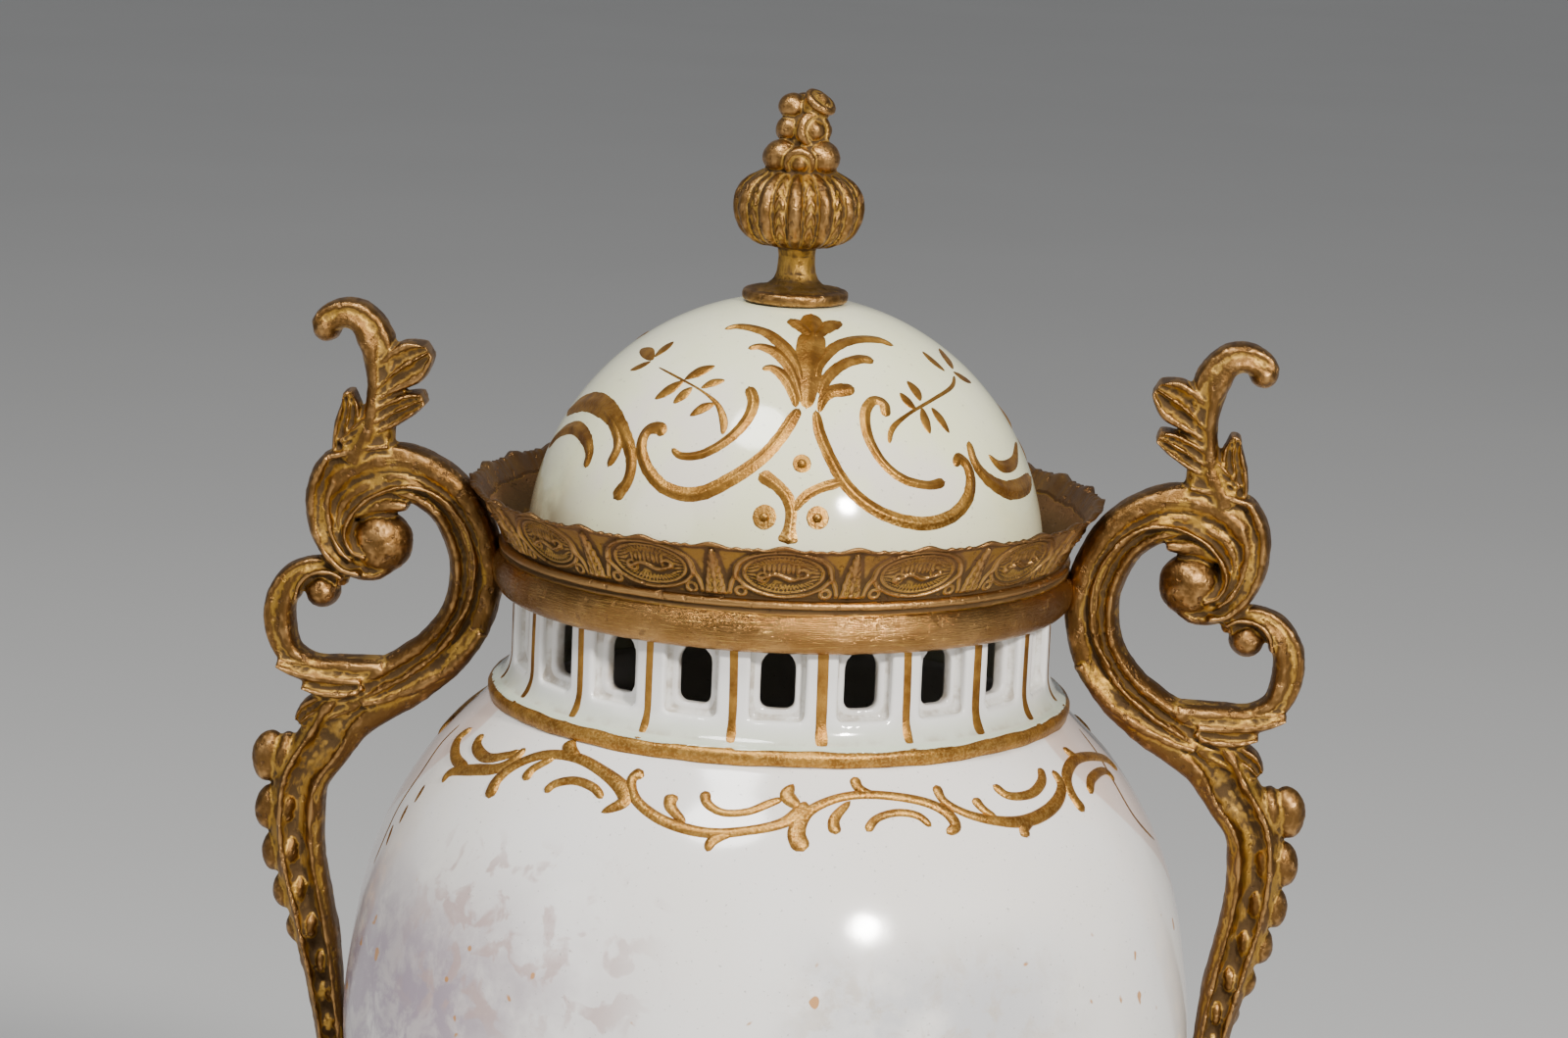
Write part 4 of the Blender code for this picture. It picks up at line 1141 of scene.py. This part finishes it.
# %% The ring and the stripes
ring_line = [
    (SHOULDER_FOOT + 0.25, SHOULDER_TOP + 0.1), (RING_RADIUS - 0.2, RING - 1.1),
    (RING_RADIUS + 0.1, RING - 0.4),
    (RING_RADIUS + 0.1, RING + 0.5), (RING_RADIUS - 0.2, RING + 1.1), (RING_RADIUS - 0.8, RING + 1.55),
    (RING_RADIUS - 2.2, RING + 1.6), (RING_RADIUS - 2.4, RING - 1.0),
]


def hand_drawn(azimuth, row):
    """The ring's edges wander a little."""
    wander = 0.16 * np.sin(azimuth * 7 + 1) + 0.1 * np.sin(azimuth * 17 + row) + 0.06 * np.sin(azimuth * 41)
    return 0.02 * wander, wander * ((row == 0) | (row == 5))


rng = np.random.default_rng(7)
stripe_shells = [turned_shell(ring_line, 360, hand_drawn, closed=True)]
for i in range(WINDOWS):
    azimuth = math.radians(WINDOW_PHASE + (i + 0.5) * 360 / WINDOWS)
    sway, fat = rng.uniform(-0.4, 0.4), rng.uniform(0.85, 1.2)
    spots, widths = [], []
    for z in RING + 1.6 + (RIM - RING - 3.6) * np.linspace(0, 1, 32) ** 2:
        low = max(0.0, 1 - (z - RING) / 6)
        angle = azimuth + (sway * math.sin((z - RING) / 6) * 0.6 + low * sway) / NECK_RADIUS
        slope = (flare(z + 0.1) - flare(z - 0.1)) / 0.2
        normal = Vector((math.sin(angle), -math.cos(angle), -float(slope))).normalized()
        point = Vector((math.sin(angle) * float(flare(z)), -math.cos(angle) * float(flare(z)), z)) * MM
        spots.append((point, normal))
        widths.append((2.1 + 1.3 * low) * fat)
    stripe_shells.append(ribbon(spots, widths, 0.16, ROUND_STROKE))
neck_gilding = mesh_object("neck_gilding", *join_shells(stripe_shells))
report(neck_gilding)

# %% [markdown]
# ## Shader maths
#
# A material is a small calculation: where is this point, how rough, how dark. Writing it as sums keeps it
# readable, so one class wraps the value on a socket, and + - * / on it add Math nodes.

# %% The wire class


class Wire:
    """A value on its way through a material."""

    def __init__(self, tree, socket):
        self.tree, self.socket = tree, socket

    def node(self, kind, settings=None, inputs=None, output=0):
        """Any other node: its type, its settings, then the values or wires of its sockets."""
        made = self.tree.nodes.new("ShaderNode" + kind)
        for name, value in (settings or {}).items():
            if name == "stops":
                ramp = made.color_ramp.elements
                for i, (place, colour) in enumerate(value):
                    stop = ramp[i] if i < 2 else ramp.new(place)
                    stop.position, stop.color = place, (*colour, 1)
            else:
                setattr(made, name, value)
        for name, value in (inputs or {}).items():
            plug(self.tree, made.inputs[name], value)
        return Wire(self.tree, made.outputs[output])

    def math(self, operation, first, second=0.0):
        return self.node("Math", {"operation": operation}, {0: first, 1: second})

    def __add__(self, other):
        return self.math("ADD", self, other)

    def __radd__(self, other):
        return self.math("ADD", other, self)

    def __sub__(self, other):
        return self.math("SUBTRACT", self, other)

    def __rsub__(self, other):
        return self.math("SUBTRACT", other, self)

    def __mul__(self, other):
        return self.math("MULTIPLY", self, other)

    def __rmul__(self, other):
        return self.math("MULTIPLY", other, self)

    def __truediv__(self, other):
        return self.math("DIVIDE", self, other)

    def between(self, low, high):
        """0 below low, 1 above high, and smooth in between; low may be the larger."""
        inputs = {"Value": self, "From Min": low, "From Max": high}
        return self.node("MapRange", {"interpolation_type": "SMOOTHSTEP"}, inputs)

    def most(self, other):
        return self.math("MAXIMUM", self, other)

    def colour(self, low, high):
        """A colour that goes from low to high as this value goes from 0 to 1."""
        return self.node("Mix", {"data_type": "RGBA"}, {0: self, 6: low, 7: high}, 2)

    def noise(self, scale, detail=4.0, roughness=0.55, distortion=0.0):
        """Noise over this vector, from 0 to 1, in features of so many to the metre."""
        inputs = {"Vector": self, "Scale": scale, "Detail": detail}
        inputs |= {"Roughness": roughness, "Distortion": distortion}
        return self.node("TexNoise", None, inputs)

# %% [markdown]
# Every material starts and ends alike: it reads the place in space, and links what varies to the shader.
# Colours are built in layers, from the bare surface outwards.

# %% Start, layer and finish a material


def plug(tree, socket, value):
    """Links a wire to a socket, or sets the socket to a plain value."""
    if isinstance(value, Wire):
        tree.links.new(value.socket, socket)
    elif isinstance(value, tuple) and len(value) == 3 and len(socket.default_value) == 4:
        socket.default_value = (*value, 1.0)
    else:
        socket.default_value = value


def start_material(name, **constants):
    """A new material, its shader, and wires for the place in space: the vector, x, y and z."""
    material = bpy.data.materials.new(name)
    material.use_nodes = True
    tree = material.node_tree
    shader = tree.nodes["Principled BSDF"]
    for socket, value in constants.items():
        shader.inputs[socket.replace("_", " ")].default_value = value
    where = Wire(tree, tree.nodes.new("ShaderNodeTexCoord").outputs["Object"])
    x, y, z = (where.node("SeparateXYZ", None, {0: where}, i) for i in range(3))
    return material, tree, shader, where, (x, y, z)


def layered(colour, layers):
    """Lays tints over a colour, each given as (where it lies, how strongly, the tint)."""
    for mask, strength, tint in layers:
        colour = (mask * strength).colour(colour, tint)
    return colour


def finish_material(
    tree, shader, colour, roughness, height=None, strength=0.3, distance=0.0004, metallic=None
):
    """Links what varies to the shader; height is the small relief for the bump."""
    plug(tree, shader.inputs["Base Color"], colour)
    plug(tree, shader.inputs["Roughness"], roughness)
    if metallic is not None:
        plug(tree, shader.inputs["Metallic"], metallic)
    if height is not None:
        inputs = {"Strength": strength, "Distance": distance, "Height": height}
        plug(tree, shader.inputs["Normal"], height.node("Bump", None, inputs))

# %% [markdown]
# ## Glaze
#
# Porcelain glaze is white, clear and very smooth. It shows its age in soft ways: grey grime where a cloth
# doesn't reach, faint specks, a green cast where it pools thick. The body also carries a painted picture
# that has all but worn off: clouds of mauve and grey on the left, brown-pink dabs, a cool patch on the
# right. Those are soft areas of noise, placed by the angle round the vase and the height.

# %% The body's glaze and worn painting
WHITE = (0.86, 0.845, 0.82)
WARM_WHITE = (0.83, 0.79, 0.73)
GLAZE = {"IOR": 1.5, "Coat_Weight": 0.3, "Coat_Roughness": 0.10}


def angle_round(where, x, y):
    """The azimuth in degrees from the front, measured the same on the front and the back."""
    side = x * (y.math("SIGN", y) * -1)
    depth = y.math("ABSOLUTE", y)
    return side.math("ARCTAN2", side, depth) * (180 / math.pi)


material, tree, shader, where, (x, y, z) = start_material("body glaze", **GLAZE)
angle = angle_round(where, x, y)
height = z / MM
clouds = where.noise(38, 6, 0.6)
wisps = where.noise(120, 6, 0.65, 0.4)
grain = where.noise(900, 3)
colour = where.noise(14, 3).between(0.35, 0.7).colour(WHITE, WARM_WHITE)

fade = angle.between(-89, -76)
left_cloud = fade * angle.between(-4, -38) * height.between(226, 200) * clouds.between(0.30, 0.56)
left_violet = fade * angle.between(-22, -48) * height.between(216, 192) * wisps.between(0.38, 0.56)
dabs = where.noise(150, 3, 0.5, 0.5).between(0.52, 0.60) * clouds.between(0.36, 0.5)
dabs = dabs * angle.between(-8, -22) * angle.between(-60, -46) * height.between(186, 194)
dabs = dabs * height.between(228, 218)
right_patch = angle.between(2, 12) * angle.between(58, 34) * height.between(220, 202)
right_patch = right_patch * clouds.between(0.36, 0.56)
right_wisps = angle.between(2, 14) * angle.between(56, 30) * height.between(218, 200)
right_wisps = right_wisps * wisps.between(0.47, 0.60)
low_wash = height.between(165, 110) * height.between(58, 80) * clouds.between(0.35, 0.65)
colour = layered(
    colour,
    [
        (left_cloud, 0.80, (0.47, 0.40, 0.42)),
        (left_violet, 0.75, (0.33, 0.26, 0.33)),
        (dabs, 0.75, (0.50, 0.36, 0.33)),
        (right_patch, 0.7, (0.49, 0.50, 0.53)),
        (right_wisps, 0.55, (0.55, 0.46, 0.35)),
        (low_wash, 0.35, (0.55, 0.52, 0.50)),
    ],
)

# %% [markdown]
# Over the painting come brown specks and dust. A pink ground runs behind each handle, up to the gilt line,
# and grime has gathered under the ring.

# %% The body's specks, pink ground and grime
specks = where.noise(190, 2, 0.4).between(0.705, 0.735)
specks = specks * height.between(215, 207) * height.between(120, 150)
dust = where.noise(1500, 1, 0.3).between(0.73, 0.78)
side = 90 - angle.math("ABSOLUTE", angle)
edge = height.between(204, 241) * 21.0 + 1.0
ground = (side - edge).between(0.6, -0.6) * height.between(204, 207)
grime = height.between(241.5, 243.5) * where.noise(90, 4).between(0.4, 0.65)
colour = layered(
    colour,
    [
        (specks, 0.9, (0.52, 0.24, 0.06)),
        (dust, 0.5, (0.25, 0.22, 0.19)),
        (ground, 0.75, (0.66, 0.50, 0.43)),
        (grime, 0.35, (0.45, 0.38, 0.28)),
    ],
)
worn = (left_cloud * 0.5).most(right_patch * 0.6)
roughness = 0.11 + worn * 0.16 + grain * 0.03 + dust * 0.2
ripple = where.noise(60, 2) + grain * 0.02 + worn * wisps * 0.06
finish_material(tree, shader, colour, roughness, ripple, 0.25, 0.0006)
BODY_GLAZE = material

# %% [markdown]
# The neck wears the same glaze. It pools in the panels and takes a faint sea-green there, most of all
# near the ring. The corners and sides of the windows and the inside of the neck are painted darker and
# browner in patches, partly dirt and partly painted shade.

# %% The neck's glaze
material, tree, shader, where, (x, y, z) = start_material("neck glaze", **GLAZE)
height = z / MM
radius = (x * x + y * y).math("SQRT", x * x + y * y) / MM
relief = where.node("Attribute", {"attribute_name": "relief"}, None, 2)
pooled = height.between(RING + 8, RING + 1.5)
sunk = relief.between(0.02, -0.10)
# The sides and corners of the windows and the inside of the neck are painted darker: partly dirt, partly
# painted shade.
deep = radius.between(54.0, 52.2)
patchy_dirt_and_shade = where.noise(220, 5, 0.6).between(0.42, 0.66)
corner = relief.between(-0.05, -0.16) * patchy_dirt_and_shade
inner = radius.between(51.6, 51.0)
colour = layered(
    pooled.colour(WHITE, (0.60, 0.66, 0.51)),
    [
        (sunk, 0.35, (0.66, 0.65, 0.56)),
        (deep, 0.25 + patchy_dirt_and_shade * 0.45, (0.40, 0.32, 0.23)),
        (corner, 0.6, (0.30, 0.22, 0.14)),
        (inner, 0.4, (0.50, 0.46, 0.38)),
    ],
)
roughness = 0.08 + deep * patchy_dirt_and_shade * 0.3 + inner * 0.25
finish_material(tree, shader, colour, roughness, where.noise(140, 2), 0.3, 0.0004)
NECK_GLAZE = material

# %% [markdown]
# The lid's porcelain is ivory with a green cast. It is a little pinker between the arms of the scrolls,
# and it is painted a soft grey, darker towards the bottom, in a band just above the collar.

# %% The lid's glaze
material, tree, shader, where, (x, y, z) = start_material("lid glaze", **GLAZE)
height = z / MM
angle = angle_round(where, x, y)
patchy = where.noise(30, 4).between(0.3, 0.7)
blush = angle.between(6, 16) * angle.between(54, 42) + angle.between(-6, -16) * angle.between(-54, -42)
blush = blush * height.between(288, 294) * height.between(318, 308)
blush = blush * where.noise(60, 3).between(0.35, 0.6)
# The lid is painted a patchy grey that gets darker towards the bottom, where it meets the collar.
darker_towards_collar = height.between(288, 277) * where.noise(120, 5, 0.6).between(0.3, 0.7)
smear = height.between(298, 280) * angle.between(-38, -62) * where.noise(60, 5, 0.6).between(0.3, 0.6)
dust = where.noise(1300, 1, 0.3).between(0.72, 0.77)
colour = layered(
    patchy.colour((0.78, 0.79, 0.50), (0.85, 0.83, 0.62)),
    [
        (blush, 0.5, (0.75, 0.66, 0.63)),
        (darker_towards_collar, 0.55, (0.42, 0.35, 0.24)),
        (smear, 0.75, (0.22, 0.16, 0.09)),
        (dust, 0.45, (0.28, 0.23, 0.17)),
    ],
)
roughness = 0.09 + darker_towards_collar * 0.25 + dust * 0.2 + where.noise(700, 2) * 0.03
finish_material(tree, shader, colour, roughness, where.noise(70, 2), 0.25, 0.0006)
LID_GLAZE = material

# %% [markdown]
# ## Gilding on the porcelain
#
# Fired gold is duller than metal leaf: a blotchy brown-gold film, speckled bright where it has been
# rubbed, which on this vase is low on the lid. The bright specks are partly that rubbing and partly
# painted glints. Fine noise in the bump gives the grainy paste.

# %% Fired gold


def fired_gold(name, rub_and_glint_heights, rub_and_glint=0.3):
    """Gold fired over paste, speckled bright between the given pair of heights in mm and as strongly as the
    last argument says; the specks are partly rubbed gold, partly painted glints.
    """
    material, tree, shader, where, (x, y, z) = start_material(name)
    blotch = where.noise(260, 5, 0.6)
    fine = where.noise(1700, 3, 0.6)
    colour = blotch.between(0.3, 0.7).colour((0.24, 0.10, 0.014), (0.46, 0.235, 0.045))
    dull = where.noise(90, 4).between(0.45, 0.7)
    # Bright specks between the heights: partly rubbed gold, partly painted glints.
    bright = (z / MM).between(*rub_and_glint_heights) * fine.between(0.46, 0.60)
    colour = layered(colour, [(dull, 0.45, (0.26, 0.12, 0.03)), (bright, rub_and_glint, (0.86, 0.54, 0.16))])
    roughness = 0.22 + blotch * 0.22 + fine * 0.12
    finish_material(tree, shader, colour, roughness, fine + blotch * 0.6, 0.55, 0.00025, 0.82)
    return material


LID_GOLD = fired_gold("lid gold", (296, 284), 0.8)
BODY_GOLD = fired_gold("shoulder gold", (222, 236))
RING_GOLD = fired_gold("ring gold", (250, 244))

# %% [markdown]
# ## Old gilt bronze
#
# Mercury gilding is a warm, slightly matt yellow. Where it stands proud it has worn through to brown,
# coppery bronze that hands have given a polish; on its sharp edges that copper is partly a painted
# highlight. Where it lies sheltered it stays yellow, and the deepest lines are painted black, partly dirt
# and partly painted shade. The two stored reliefs, fine and broad, steer that, and noise breaks up their
# edges.

# %% Gilt bronze


def gilt_bronze(name, wear, sharp=1.0, streaks=None, grime=None):
    """Gilt bronze; wear from 0 to 1 says how much has rubbed off, sharp how fine the relief is.

    streaks are the heights of a burnished band and grime those of a dirty hollow, in millimetres.
    """
    material, tree, shader, where, (x, y, z) = start_material(name)
    fine = where.node("Attribute", {"attribute_name": "relief"}, None, 2)
    broad = where.node("Attribute", {"attribute_name": "hollow"}, None, 2)
    blotch = where.noise(110, 5, 0.6)
    grain = where.noise(1400, 4, 0.65)
    pits = where.noise(520, 3, 0.5).between(0.60, 0.72)
    gold = blotch.between(0.3, 0.7).colour((0.35, 0.19, 0.03), (0.53, 0.315, 0.075))
    proud = broad * 0.9 + fine * sharp * 3.0 + (blotch - 0.5) * 1.1 + (grain - 0.5) * 0.4
    rubbed = proud.between(0.16 - wear * 0.5, 0.6 - wear * 0.5)
    # Sharp raised edges are painted a light copper: partly polish from handling, partly a painted
    # highlight.
    polish_and_highlight = (fine * sharp * 4.0 + (blotch - 0.5) * 0.6).between(0.3, 0.9)
    # The deepest hollows are painted near black, partly dirt and partly painted shade, and lose their metal
    # there.
    sunk = (broad * 0.7 + fine * sharp * 5.0 + (grain - 0.5) * 0.4).between(-0.18, -0.95)
    colour = layered(
        gold,
        [
            (rubbed, 0.7 + wear * 0.3, (0.12, 0.055, 0.02)),
            (polish_and_highlight, 0.55, (0.62, 0.35, 0.13)),
            (sunk, 0.9, (0.05, 0.025, 0.01)),
            (pits, 0.5, (0.09, 0.045, 0.02)),
        ],
    )
    roughness = 0.40 - rubbed * 0.05 - polish_and_highlight * 0.08 + sunk * 0.35 + pits * 0.2 + grain * 0.14
    height = grain * 0.5 + blotch * 0.8 - pits * 0.8
    if streaks:
        low, high = streaks
        around = where.node("VectorMath", {"operation": "MULTIPLY"}, {0: where, 1: (0.06, 0.06, 1.0)})
        line = around.noise(3200, 3, 0.7)
        on_band = (z / MM).between(low, low + 0.8) * (z / MM).between(high, high - 0.8)
        scratch = line.between(0.56, 0.68) * on_band
        crest = (z / MM).between(high + 4.5, high + 11.5) * blotch.between(0.2, 0.6)
        brown = on_band * blotch.between(0.3, 0.6)
        colour = layered(
            colour,
            [
                (crest, 0.75, (0.17, 0.075, 0.025)),
                (brown, 0.8, (0.24, 0.115, 0.03)),
                (scratch, 0.5, (0.70, 0.44, 0.12)),
            ],
        )
        roughness = roughness - on_band * 0.16
        height = height * (1 - on_band * 0.75) + line * on_band * 0.8
    if grime:
        low, high = grime
        dirty = (z / MM).between(low, low + 0.6) * (z / MM).between(high + 2.0, high)
        dirty = dirty * blotch.between(0.1, 0.5)
        colour = layered(colour, [(dirty, 0.8, (0.06, 0.033, 0.013))])
        roughness = roughness + dirty * 0.2
    metallic = 1.0 - sunk * 0.5 - pits * 0.2
    finish_material(tree, shader, colour, roughness, height, 0.7, 0.0004, metallic)
    return material


HANDLE_BRONZE = gilt_bronze("handle bronze", 0.55)
COLLAR_BRONZE = gilt_bronze("collar bronze", 0.3, 2.0, (SKIRT - 0.5, SKIRT + 2 * BAND_HALF))
FINIAL_BRONZE = gilt_bronze("finial bronze", 0.45, 1.6, grime=(DISC_FOOT + 2.1, DISC_FOOT + 4.0))
FOOT_BRONZE = gilt_bronze("foot bronze", 0.35)

# %% [markdown]
# ## Dressing the solids
#
# Each piece takes its material and rides on the one body. Every solid has a finer piece that stands for
# it; the neck and the gilding are further pieces on the porcelain.

# %% Materials and bodies
DRESSING = [
    (body, BODY_GLAZE, "porcelain", "vase_body"),
    (neck, NECK_GLAZE, "porcelain", None),
    (lid, LID_GLAZE, "lid_porcelain", "lid_dome"),
    (collar, COLLAR_BRONZE, "gilt_bronze", "rim_collar"),
    (right_handle, HANDLE_BRONZE, "gilt_bronze", "handle_right"),
    (left_handle, HANDLE_BRONZE, "gilt_bronze", "handle_left"),
    (finial, FINIAL_BRONZE, "gilt_bronze", "finial"),
    (foot, FOOT_BRONZE, "gilt_bronze", "foot_mount"),
    (lid_gilding, LID_GOLD, None, None),
    (body_gilding, BODY_GOLD, None, None),
    (neck_gilding, RING_GOLD, None, None),
]
for piece, finish, slot, node in DRESSING:
    piece.data.materials.clear()
    piece.data.materials.append(finish)
    if node:
        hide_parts(node)
    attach(piece, "root")

# %% [markdown]
# ## Floor and light
#
# The vase stands on a plain pale floor. A small lamp high on the right gives the crisp highlights and
# leaves the left side quieter, as in the photograph. A broader one above and a weak one on the left
# soften its shadows.

# %% The studio


def lamp(name, place, size, power, tint=(1, 1, 1)):
    """A round lamp that points at the vase."""
    data = bpy.data.lights.new(name, "AREA")
    data.shape = "DISK"
    data.size, data.energy, data.color = size, power, tint
    thing = add_object(name, data)
    thing.location = place
    thing.rotation_euler = (AIM - Vector(place)).to_track_quat("-Z", "Y").to_euler()


lamp("key", (0.75, -1.15, 1.05), 0.18, 31.0, (1.0, 0.96, 0.91))
lamp("top", (-0.25, -0.55, 1.5), 0.5, 17.0)
lamp("fill", (-1.3, -0.9, 0.7), 0.9, 3.0)
world = bpy.data.worlds.new("studio")
bpy.context.scene.world = world
world.use_nodes = True
world.node_tree.nodes["Background"].inputs["Color"].default_value = (0.80, 0.81, 0.83, 1)
world.node_tree.nodes["Background"].inputs["Strength"].default_value = 0.32

floor_mesh = bpy.data.meshes.new("floor")
floor_mesh.from_pydata([(-9, -9, 0), (9, -9, 0), (9, 9, 0), (-9, 9, 0)], [], [(0, 1, 2, 3)])
floor = add_object("floor", floor_mesh)
material, tree, shader, where, _ = start_material("floor")
finish_material(tree, shader, where.noise(3, 2).colour((0.62, 0.62, 0.61), (0.66, 0.66, 0.65)), 0.8)
floor.data.materials.append(material)
